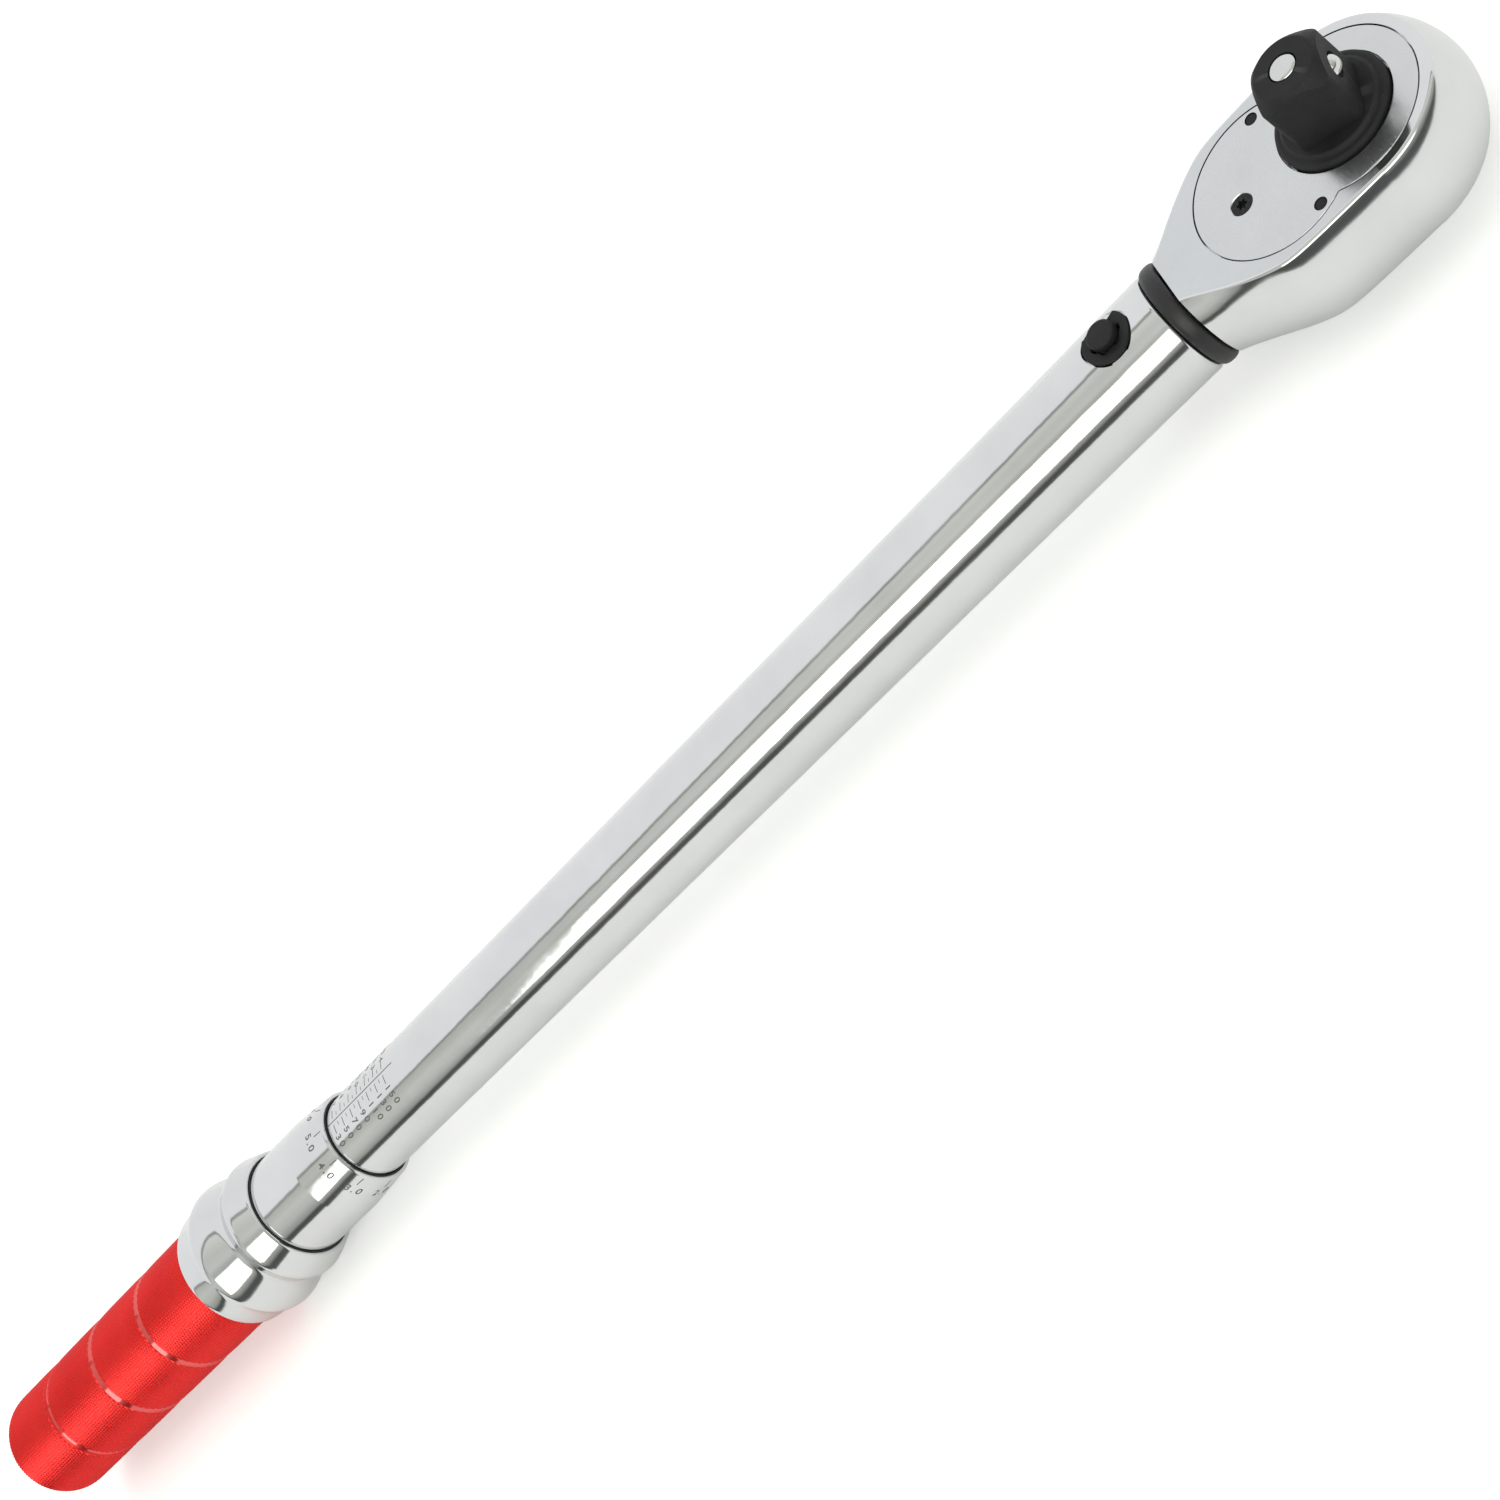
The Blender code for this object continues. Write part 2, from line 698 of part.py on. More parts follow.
def at_nut_pins():
    sideways = Matrix.Rotation(pi / 2, 4, "X")
    return across_z(-358.0) @ sideways


def make_pivot_pin():
    return turned(
        "pivot_pin",
        [
            (13.3, PIVOT_RADIUS - 0.35),
            (12.95, PIVOT_RADIUS),
            (11.5, PIVOT_RADIUS),
            (11.5, 2.2),
            (10.3, 2.2),
            (10.1, PIVOT_RADIUS),
            (-SPOT_FACE_Z - 0.2, PIVOT_RADIUS),
            (-SPOT_FACE_Z - 0.2, 4.6),
            (-11.6, 4.6),
            (-11.9, 4.2),
        ],
        "black_oxide",
        across_z(PIVOT_X),
        MEDIUM,
    )


def make_pivot_clip():
    """A crescent clip, open towards +Y, in the groove near the pin's end."""
    opening = radians(48)
    inner_opening = radians(52)
    outer = arc(0.0, 0.0, CLIP_RADIUS, pi / 2 + opening, 5 * pi / 2 - opening, 30)
    inner = arc(0.0, 0.15, 2.65, 5 * pi / 2 - inner_opening, pi / 2 + inner_opening, 22)
    return flat("pivot_clip", [outer + inner], 10.42, 11.35, "black_oxide", across_z(PIVOT_X))


def make_seal_ring():
    steps = 10
    section = [
        (SEAL_X + SEAL_MINOR * cos(2 * pi * i / steps), SEAL_MAJOR + SEAL_MINOR * sin(2 * pi * i / steps))
        for i in range(steps)
    ]
    return turned("seal_ring", section, "rubber", ring=True)


def make_tumbler_block():
    """The block that tips over when the set torque is reached."""
    front, rear = BLOCK_FRONT_X, BLOCK_REAR_X
    outline = [(front, -2.3), (front, 2.3), (front - 1.6, 4.2), (rear + 1.6, 4.2),
               (rear, 2.3), (rear, -2.3), (rear + 1.6, -4.2), (front - 1.6, -4.2)]
    return flat("tumbler_block", [outline], -4.2, 4.2, "satin_steel")


def make_plunger():
    return turned(
        "plunger",
        [
            (PLUNGER_FRONT_X, 8.2),
            (PLUNGER_FRONT_X - 0.7, 8.85),
            (PLUNGER_REAR_X, 8.85),
            (PLUNGER_REAR_X, 5.2),
            (PLUNGER_REAR_X - 9.0, 4.6),
        ],
        "satin_steel",
        steps=MEDIUM,
    )


def make_main_spring():
    return coil(
        "main_spring",
        SEAT_FRONT_X + 0.3 + SPRING_WIRE_RADIUS,
        PLUNGER_REAR_X - 0.3 - SPRING_WIRE_RADIUS,
        SPRING_MEAN_RADIUS,
        SPRING_WIRE_RADIUS,
        SPRING_TURNS,
        "spring_steel",
        ALONG_X,
        facets=2,
    )


def make_spring_seat():
    return turned(
        "spring_seat",
        [
            (SEAT_FRONT_X + 9.0, 4.6),
            (SEAT_FRONT_X, 5.2),
            (SEAT_FRONT_X, 8.85),
            (SEAT_REAR_X, 8.85),
            (SEAT_REAR_X, 1.6),
            (SEAT_REAR_X + 1.6, 0.4),
        ],
        "satin_steel",
        steps=MEDIUM,
    )


def make_thrust_ball():
    place_at = IN_WRENCH @ Matrix.Translation(((SCREW_FRONT_X + 2.75) * MM, 0, 0))
    return sphere("thrust_ball", 2.4, "satin_steel", place_at)


def make_adjusting_nut():
    nut = turned(
        "adjusting_nut",
        [(-352.0, 8.9), (-364.0, 8.9), (-364.0, SCREW_RADIUS + GAP), (-352.0, SCREW_RADIUS + GAP)],
        "brass",
        steps=MEDIUM,
        ring=True,
    )
    return drill(nut, -14.0, 14.0, 1.5, at_nut_pins(), 16)


def make_nut_pins():
    return [
        pin("nut_pin_1", 6.5, 11.2, 1.2, "satin_steel", at_nut_pins(), 16),
        pin("nut_pin_2", -11.2, -6.5, 1.2, "satin_steel", at_nut_pins(), 16),
    ]


# ---------------------------------------------------------------- handle


def make_thimble_sleeve():
    mouth = SLEEVE_MOUTH_X
    sleeve = turned(
        "thimble_sleeve",
        [
            (mouth, 12.7),
            (mouth - 0.35, 12.93),
            (mouth - 12.3, 13.88),
            (mouth - 13.3, SLEEVE_RADIUS),
            (GRIP_FRONT_X + 0.4, SLEEVE_RADIUS),
            (GRIP_FRONT_X + 0.4, 13.0),
            (-379.6, 13.0),
            (-379.6, SLEEVE_BORE),
            (mouth - 2.9, SLEEVE_BORE),
            (mouth - 2.9, 12.45),
            (mouth, 12.45),
        ],
        "chrome",
        ring=True,
    )
    for angle in lock_ball_angles():
        outwards = across_x_spoke(LOCK_BALL_X, angle)
        drill(sleeve, 10.0, 16.0, 1.35, outwards, 16)
    drill(sleeve, 10.0, 14.5, 1.6, across_x_spoke(SET_SCREW_X, SET_SCREW_ANGLE), 16)
    return sleeve


def lock_ball_angles():
    return [2 * pi * i / LOCK_BALLS + pi / 2 for i in range(LOCK_BALLS)]


def across_x_spoke(x, angle):
    """A frame at x on the tube's axis whose Z points outwards, at an angle from +Y towards +Z."""
    return across_z(x) @ Matrix.Rotation(angle, 4, "X") @ Matrix.Rotation(-pi / 2, 4, "X")


def make_sleeve_wiper():
    mouth = SLEEVE_MOUTH_X
    return turned(
        "sleeve_wiper",
        [(mouth - 0.2, 12.15), (mouth - 2.5, 12.15), (mouth - 2.5, 11.65), (mouth - 0.2, 11.65)],
        "rubber",
        ring=True,
    )


def make_lock_balls():
    balls = []
    for index, angle in enumerate(lock_ball_angles(), 1):
        place_at = across_x_spoke(LOCK_BALL_X, angle) @ Matrix.Translation((0, 0, 12.9 * MM))
        balls.append(sphere(f"lock_ball_{index}", 1.1, "satin_steel", place_at, 10, 6))
    return balls


def grip_groove(centre):
    """A shallow trough, as profile points down the outer side."""
    low = GRIP_RADIUS - GROOVE_DEPTH
    half = GROOVE_HALF_WIDTH
    return [
        (centre + half, GRIP_RADIUS),
        (centre + half * 0.45, low),
        (centre - half * 0.45, low),
        (centre - half, GRIP_RADIUS),
    ]


def make_grip():
    profile = [(GRIP_FRONT_X, GRIP_RADIUS - 0.5), (GRIP_FRONT_X - 0.5, GRIP_RADIUS)]
    for centre in GROOVE_X:
        profile += grip_groove(centre)
    centre_x = GRIP_END_X + GRIP_END_ROUND
    centre_r = GRIP_RADIUS - GRIP_END_ROUND
    for step in range(4):
        angle = pi / 2 * step / 3
        profile.append((centre_x - GRIP_END_ROUND * sin(angle), centre_r + GRIP_END_ROUND * cos(angle)))
    profile += [
        (GRIP_END_X, 8.2),
        (-447.0, 8.2),
        (-447.0, SCREW_RADIUS + GAP),
        (-396.0, SCREW_RADIUS + GAP),
        (-396.0, 11.9),
        (-381.0, 11.9),
        (-381.0, 13.35),
        (GRIP_FRONT_X, 13.35),
    ]
    grip = turned("grip", profile, "red_anodised", ring=True)
    return drill(grip, 12.0, 17.0, 1.6, across_x_spoke(SET_SCREW_X, SET_SCREW_ANGLE), 16)


def make_grip_set_screw():
    place_at = across_x_spoke(SET_SCREW_X, SET_SCREW_ANGLE)
    screw = pin("grip_set_screw", 12.1, 15.2, 1.3, "black_oxide", place_at, 16)
    hexagon = circle(0.0, 0.75, 6)
    recess = flat("set_screw_socket", [hexagon], 14.0, 16.0, None, place_at)
    return boolean(screw, recess)


def make_adjusting_screw():
    front, rear = SCREW_FRONT_X, SCREW_REAR_X
    return turned(
        "adjusting_screw",
        [
            (front, 3.6),
            (front - 1.2, 4.4),
            (front - 20.0, 4.4),
            (front - 22.0, SCREW_RADIUS),
            (rear + 1.0, SCREW_RADIUS),
            (rear, SCREW_RADIUS - 1.0),
        ],
        "satin_steel",
        steps=MEDIUM,
    )


def make_screw_locknut():
    hexagon = circle(0.0, 7.75, 6)
    bore = list(reversed(circle(0.0, SCREW_RADIUS + GAP, MEDIUM)))
    return flat("screw_locknut", [hexagon, bore], -453.4, -447.4, "satin_steel", ALONG_X)


def make_end_plug():
    plug = turned(
        "end_plug",
        [(-458.0, 7.5), (-458.4, 7.85), (GRIP_END_X + 1.2, 7.85), (GRIP_END_X + 0.7, 7.3)],
        "black_oxide",
        steps=MEDIUM,
    )
    hexagon = circle(0.0, 2.3, 6)
    socket = flat("plug_socket", [hexagon], GRIP_END_X - 2.0, GRIP_END_X + 6.0, None, ALONG_X)
    return boolean(plug, socket)


# ---------------------------------------------------------------- lock collar


def make_lock_collar():
    front, rear = COLLAR_FRONT_X, COLLAR_REAR_X
    return turned(
        "lock_collar",
        [
            (front, 15.1),
            (front - 0.3, 15.4),
            (front - 2.6, 16.2),
            (front - 5.4, 17.12),
            (front - 6.6, 17.38),
            (front - 7.5, 17.35),
            (front - 8.8, 16.8),
            (front - 10.2, 16.25),
            (front - 11.6, 16.15),
            (front - 12.8, 16.45),
            (front - 14.2, 17.0),
            (front - 15.8, 17.68),
            (front - 17.3, 18.22),
            (front - 18.8, 18.64),
            (front - 20.0, 18.83),
            (front - 21.0, 18.76),
            (front - 22.8, 18.15),
            (front - 25.8, 17.55),
            (front - 29.1, 17.1),
            (rear, 16.8),
            (rear, 15.85),
            (front - 12.9, 15.85),
            (front - 12.9, 15.15),
            (front - 8.2, 15.15),
            (front - 8.2, 14.3),
            (front - 2.4, 14.3),
            (front - 2.4, 14.85),
            (front, 14.85),
        ],
        "chrome",
        ring=True,
    )


def make_collar_wiper():
    front = COLLAR_FRONT_X
    return turned(
        "collar_wiper",
        [(front - 0.2, 14.6), (front - 2.1, 14.6), (front - 2.1, 14.2), (front - 0.2, 14.2)],
        "rubber",
        ring=True,
    )


def make_lock_spring():
    return coil(
        "lock_spring",
        GRIP_FRONT_X + 0.8,
        COLLAR_FRONT_X - 9.0,
        14.65,
        0.32,
        3,
        "spring_steel",
        ALONG_X,
        20,
    )


# ---------------------------------------------------------------- assembly


def gather(name, location, objects):
    """Hangs the pieces of one moving body on an empty that stands on its joint's axis."""
    empty = bpy.data.objects.new(name, None)
    empty.location = [value * MM for value in location]
    PARTS.objects.link(empty)
    bpy.context.view_layer.update()
    for obj in objects:
        world = obj.matrix_world.copy()
        obj.parent = empty
        obj.matrix_parent_inverse = empty.matrix_world.inverted()
        obj.matrix_world = world
    return empty


def build():
    gather("tube_body", (0, 0, AXIS_Z), [
        make_torque_tube(),
        make_pivot_pin(),
        make_pivot_clip(),
        make_seal_ring(),
        make_main_spring(),
        make_adjusting_nut(),
        *make_nut_pins(),
    ])
    gather("head_body", (PIVOT_X, 0, AXIS_Z), [
        make_ratchet_head(),
        make_cover_plate(),
        *make_cover_pins(),
        make_thrust_washer(),
        make_pawl_pin(),
    ])
    gather("drive_body", (0, 0, AXIS_Z), [make_drive_gear(), make_release_spring()])
    gather("release_body", (0, 0, AXIS_Z + BALL_Z), [make_release_pin()])
    gather("ball_body", (0, 0, AXIS_Z + BALL_Z), [make_detent_ball()])
    gather("pawl_body", (PAWL_PIN_X, 0, AXIS_Z), [make_pawl()])
    gather("lever_body", (SPINDLE_X, 0, AXIS_Z), [
        make_reverse_lever(),
        make_selector_plunger(),
        make_selector_spring(),
        make_selector_screw(),
    ])
    gather("tumbler_body", (BLOCK_REAR_X, 0, AXIS_Z), [make_tumbler_block()])
    gather("plunger_body", (PLUNGER_FRONT_X, 0, AXIS_Z), [make_plunger()])
    gather("thrust_body", (SEAT_REAR_X, 0, AXIS_Z), [make_spring_seat(), make_thrust_ball()])
    gather("handle_body", (GRIP_FRONT_X, 0, AXIS_Z), [
        make_thimble_sleeve(),
        make_sleeve_wiper(),
        *make_lock_balls(),
        make_lock_spring(),
        make_grip(),
        make_grip_set_screw(),
        make_adjusting_screw(),
        make_screw_locknut(),
        make_end_plug(),
    ])
    gather("collar_body", (COLLAR_FRONT_X, 0, AXIS_Z), [make_lock_collar(), make_collar_wiper()])


build()
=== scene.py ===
"""Looks for the torque wrench: fine surfaces, materials, scale marks, studio and camera.

Lengths in the tables below are in millimetres, in the part's own frame but counted in height from the
tube's axis. Everything is turned into metres, and lifted to that axis, when its mesh is made.
"""

from math import asin, atan2, cos, degrees, hypot, pi, radians, sin, sqrt

import bmesh
import bpy
from mathutils import Matrix, Vector
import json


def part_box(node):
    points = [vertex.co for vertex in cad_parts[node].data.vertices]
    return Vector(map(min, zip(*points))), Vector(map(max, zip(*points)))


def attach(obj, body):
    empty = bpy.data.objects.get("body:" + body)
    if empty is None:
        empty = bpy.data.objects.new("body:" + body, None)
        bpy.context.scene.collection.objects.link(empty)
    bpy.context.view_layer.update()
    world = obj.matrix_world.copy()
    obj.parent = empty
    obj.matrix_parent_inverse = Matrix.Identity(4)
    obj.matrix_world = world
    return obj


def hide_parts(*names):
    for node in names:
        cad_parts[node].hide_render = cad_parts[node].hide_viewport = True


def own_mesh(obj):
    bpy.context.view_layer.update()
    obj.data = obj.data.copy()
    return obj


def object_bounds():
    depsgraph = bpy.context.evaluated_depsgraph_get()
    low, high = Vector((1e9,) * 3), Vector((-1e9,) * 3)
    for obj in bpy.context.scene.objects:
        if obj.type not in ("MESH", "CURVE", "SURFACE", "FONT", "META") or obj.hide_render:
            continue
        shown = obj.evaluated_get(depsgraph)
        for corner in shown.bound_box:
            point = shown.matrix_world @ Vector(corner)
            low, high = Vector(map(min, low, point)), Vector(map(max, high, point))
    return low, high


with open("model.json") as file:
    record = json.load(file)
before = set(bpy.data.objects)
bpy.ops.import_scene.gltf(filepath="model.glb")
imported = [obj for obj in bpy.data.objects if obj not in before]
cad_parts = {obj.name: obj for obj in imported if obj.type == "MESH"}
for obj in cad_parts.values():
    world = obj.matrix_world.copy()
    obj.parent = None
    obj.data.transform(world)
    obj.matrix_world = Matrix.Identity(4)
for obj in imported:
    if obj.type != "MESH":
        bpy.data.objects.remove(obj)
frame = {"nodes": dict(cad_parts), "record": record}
CAD_LOW, CAD_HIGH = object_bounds()

MM = 0.001
TUBE_LOW, TUBE_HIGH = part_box("torque_tube")
AXIS_HEIGHT = (TUBE_LOW.z + TUBE_HIGH.z) / 2
TUBE_RADIUS = (TUBE_HIGH.z - TUBE_LOW.z) / 2 / MM
WRENCH = Matrix.Translation((0, 0, AXIS_HEIGHT))
ALONG_X = WRENCH @ Matrix.Rotation(pi / 2, 4, "Y")

HEAD_HALF_THICKNESS = 10.3
HEAD_RADIUS = 21.0
HEAD_SIDE_ARC = 19.5
HEAD_EDGE_RADIUS = 0.9
NECK_RADIUS = 11.8
NECK_END_X = -39.8
NECK_BLEND_START_X = -22.0
HEAD_SIDE_SLOPE = 0.497
HEAD_SIDE_BLEND = 1.6
HEAD_SIDE_SHARE = 0.6

SQUARE = 12.7
SQUARE_ACROSS_CORNERS = 16.4
SQUARE_TURN = radians(-19.4)
SQUARE_BASE_Z = 12.3
SQUARE_END_Z = 26.4
SQUARE_END_RADIUS = 5.7
BOSS_RADIUS = 11.0
BALL_RADIUS = 2.35
BALL_PROUD = 1.0
BALL_Z = 20.0
BUTTON_RADIUS = 2.5

PLATE_RADIUS_DRIVE = 15.9
PLATE_RADIUS_PAWL = 15.7
PLATE_PAWL_X = -14.6
PLATE_LOW_Z = 8.3
COVER_PIN_X = -11.0
COVER_PIN_Y = 13.3
SPINDLE_X = -21.2
LEVER_SWING = radians(22.0)

PIVOT_X = -54.4
SPOT_FACE_Z = 10.1
SPOT_FACE_RADIUS = 5.6

SLEEVE_MOUTH_X = -317.3
COLLAR_FRONT_X = -347.8
COLLAR_REAR_X = -378.0
GRIP_FRONT_X = -366.0
GRIP_END_X = -474.5
GRIP_RADIUS = 15.5
GROOVE_X = (-402.0, -425.8, -449.6)
KNURL_PITCH = 0.92
KNURL_DEPTH = 0.34
GRIP_BEVEL = 5.5
GRIP_START_X = GRIP_FRONT_X - 0.5
GRIP_STRAIGHT = GRIP_START_X - (GRIP_END_X + GRIP_BEVEL)
GROOVE_HALF_WIDTH = 0.95
GROOVE_DEPTH = 0.62
GROOVE_SHINE_HALF_WIDTH = 0.7

TUBE_SKIN_RADIUS = TUBE_RADIUS - 0.005
SEAL_SHIFT = 0.1
SEAL_HALF_WIDTH = 1.85
SEAL_HALF_HEIGHT = 1.2

MAIN_SPRING_FRONT_X = -128.9
MAIN_SPRING_REAR_X = -286.1
LOCK_SPRING_REAR_X = GRIP_FRONT_X + 0.48

# The camera, fitted to the round features that the photograph shows.
CAMERA_LENS = 49.33
CAMERA_PLACE = (23.88, -267.72, 283.97)
CAMERA_ANGLES = (21.5636, 45.5181, -25.1937)

# The scale: 20 lbf.ft for each mark, at about 2 turns of a 1.75 mm screw.
SCALE_START_X = -314.6
SCALE_STEP = 3.52
SCALE_VALUES = (30, 50, 70, 90, 110, 130, 150)
NM_PER_LBFT = 1.3558


# ---------------------------------------------------------------- mesh tools


def across_z(x, y=0.0, turn=0.0):
    return WRENCH @ Matrix.Translation((x * MM, y * MM, 0.0)) @ Matrix.Rotation(turn, 4, "Z")


def finished_mesh(name, shape):
    """The mesh of a built shape, with its normals turned outwards."""
    bmesh.ops.recalc_face_normals(shape, faces=shape.faces)
    mesh = bpy.data.meshes.new(name)
    shape.to_mesh(mesh)
    shape.free()
    return mesh


def add_object(name, mesh, matrix, flat=False):
    """A piece whose mesh is already in the part's frame, shaded smooth with its edges kept."""
    mesh.transform(matrix)
    obj = bpy.data.objects.new(name, mesh)
    bpy.context.scene.collection.objects.link(obj)
    if not flat:
        mesh.shade_smooth()
        mesh.set_sharp_from_angle(angle=radians(38))
    return obj


def weighted_normals(obj):
    modifier = obj.modifiers.new("normals", "WEIGHTED_NORMAL")
    modifier.keep_sharp = True
    modifier.weight = 80
    return obj


def soften(points, radius, steps=4, closed=False):
    """Rounds each corner of a profile, by at most the given radius."""
    count = len(points)
    vectors = [Vector(p) for p in points]
    out = []
    for index, corner in enumerate(vectors):
        if not closed and index in (0, count - 1):
            out.append(tuple(corner))
            continue
        before = vectors[index - 1] - corner
        after = vectors[(index + 1) % count] - corner
        if before.length < 1e-6 or after.length < 1e-6:
            out.append(tuple(corner))
            continue
        straight = before.normalized().dot(after.normalized())
        if straight < -0.9995:
            out.append(tuple(corner))
            continue
        cut = min(radius, before.length * 0.48, after.length * 0.48)
        first = corner + before.normalized() * cut
        last = corner + after.normalized() * cut
        for step in range(steps + 1):
            t = step / steps
            out.append(tuple(first * (1 - t) ** 2 + corner * 2 * t * (1 - t) + last * t * t))
    return out


def revolve_mesh(name, profile, segments, ring):
    """A turned skin about local Z from (height, radius) points. A ring's profile closes on itself."""
    shape = bmesh.new()
    rows = []
    for height, radius in profile:
        if radius < 1e-5:
            rows.append([shape.verts.new((0, 0, height * MM))])
            continue
        row = []
        for step in range(segments):
            angle = 2 * pi * step / segments
            row.append(shape.verts.new((radius * cos(angle) * MM, radius * sin(angle) * MM, height * MM)))
        rows.append(row)
    pairs = list(zip(rows, rows[1:]))
    if ring:
        pairs.append((rows[-1], rows[0]))
    for upper, lower in pairs:
        for i in range(segments):
            j = (i + 1) % segments
            if len(upper) == 1 and len(lower) == 1:
                continue
            if len(upper) == 1:
                shape.faces.new((upper[0], lower[i], lower[j]))
            elif len(lower) == 1:
                shape.faces.new((upper[i], lower[0], upper[j]))
            else:
                shape.faces.new((upper[i], lower[i], lower[j], upper[j]))
    return finished_mesh(name, shape)


def turned(name, profile, matrix=ALONG_X, segments=160, ring=False, edge=0.15, steps=4):
    if not ring:
        profile = [(profile[0][0], 0.0), *profile, (profile[-1][0], 0.0)]
    profile = soften(profile, edge, steps, closed=ring)
    return add_object(name, revolve_mesh(name, profile, segments, ring), matrix)


def flat_piece(name, outlines, low, high, edge=0.1, matrix=WRENCH, steps=2):
    """A flat piece between two heights with softly rounded edges, filled between closed outlines."""
    curve = bpy.data.curves.new(name + "_outline", "CURVE")
    curve.dimensions = "2D"
    curve.fill_mode = "BOTH"
    curve.extrude = ((high - low) / 2 - edge) * MM
    curve.bevel_depth = edge * MM
    curve.bevel_resolution = steps
    curve.offset = -edge * MM
    for outline in outlines:
        spline = curve.splines.new("POLY")
        spline.points.add(len(outline) - 1)
        for point, (x, y) in zip(spline.points, outline):
            point.co = (x * MM, y * MM, 0.0, 1.0)
        spline.use_cyclic_u = True
    guide = bpy.data.objects.new(name + "_outline", curve)
    bpy.context.scene.collection.objects.link(guide)
    graph = bpy.context.evaluated_depsgraph_get()
    mesh = bpy.data.meshes.new_from_object(guide.evaluated_get(graph))
    bpy.data.objects.remove(guide, do_unlink=True)
    shape = bmesh.new()
    shape.from_mesh(mesh)
    bmesh.ops.remove_doubles(shape, verts=shape.verts, dist=0.000002)
    bmesh.ops.recalc_face_normals(shape, faces=shape.faces)
    shape.to_mesh(mesh)
    shape.free()
    mesh.materials.clear()
    return add_object(name, mesh, matrix @ Matrix.Translation((0, 0, (low + high) / 2 * MM)))


def combine(obj, cutter, operation="DIFFERENCE"):
    """Applies a Boolean straight away and removes the cutter."""
    modifier = obj.modifiers.new("cut", "BOOLEAN")
    modifier.operation = operation
    modifier.solver = "EXACT"
    modifier.object = cutter
    graph = bpy.context.evaluated_depsgraph_get()
    mesh = bpy.data.meshes.new_from_object(obj.evaluated_get(graph))
    obj.modifiers.remove(modifier)
    old = obj.data
    obj.data = mesh
    mesh.name = old.name
    bpy.data.meshes.remove(old)
    bpy.data.objects.remove(cutter, do_unlink=True)


def resharpen(obj, angle=30):
    obj.data.shade_smooth()
    obj.data.set_sharp_from_angle(angle=radians(angle))
    return obj


def arc(centre_x, centre_y, radius, start, end, count):
    step = (end - start) / (count - 1)
    angles = [start + step * i for i in range(count)]
    return [(centre_x + radius * cos(a), centre_y + radius * sin(a)) for a in angles]


def circle(radius, count=96, centre_x=0.0):
    return arc(centre_x, 0.0, radius, 0.0, 2 * pi * (1 - 1 / count), count)


def eased(points, count=4):
    """A smooth curve through the points, which keeps the first stretch straight."""
    curve = [points[0]]
    for before, start, end, after in zip(points, points[1:], points[2:], points[3:] + points[-1:]):
        for step in range(count):
            t = step / count
            curve.append(tuple(
                0.5 * (2 * b + (c - a) * t + (2 * a - 5 * b + 4 * c - d) * t * t
                       + (3 * b - a - 3 * c + d) * t ** 3)
                for a, b, c, d in zip(before, start, end, after)
            ))
    return curve + [points[-1]]


def smooth_step(value):
    value = min(max(value, 0.0), 1.0)
    return value * value * (3 - 2 * value)


# ---------------------------------------------------------------- materials


class Graph:
    """The node arithmetic that the materials and the world share."""

    def maths(self, operation, *values):
        node = self.nodes.new("ShaderNodeMath")
        node.operation = operation
        for socket, value in zip(node.inputs, values):
            if isinstance(value, (int, float)):
                socket.default_value = value
            else:
                self.links.new(value, socket)
        return node.outputs["Value"]


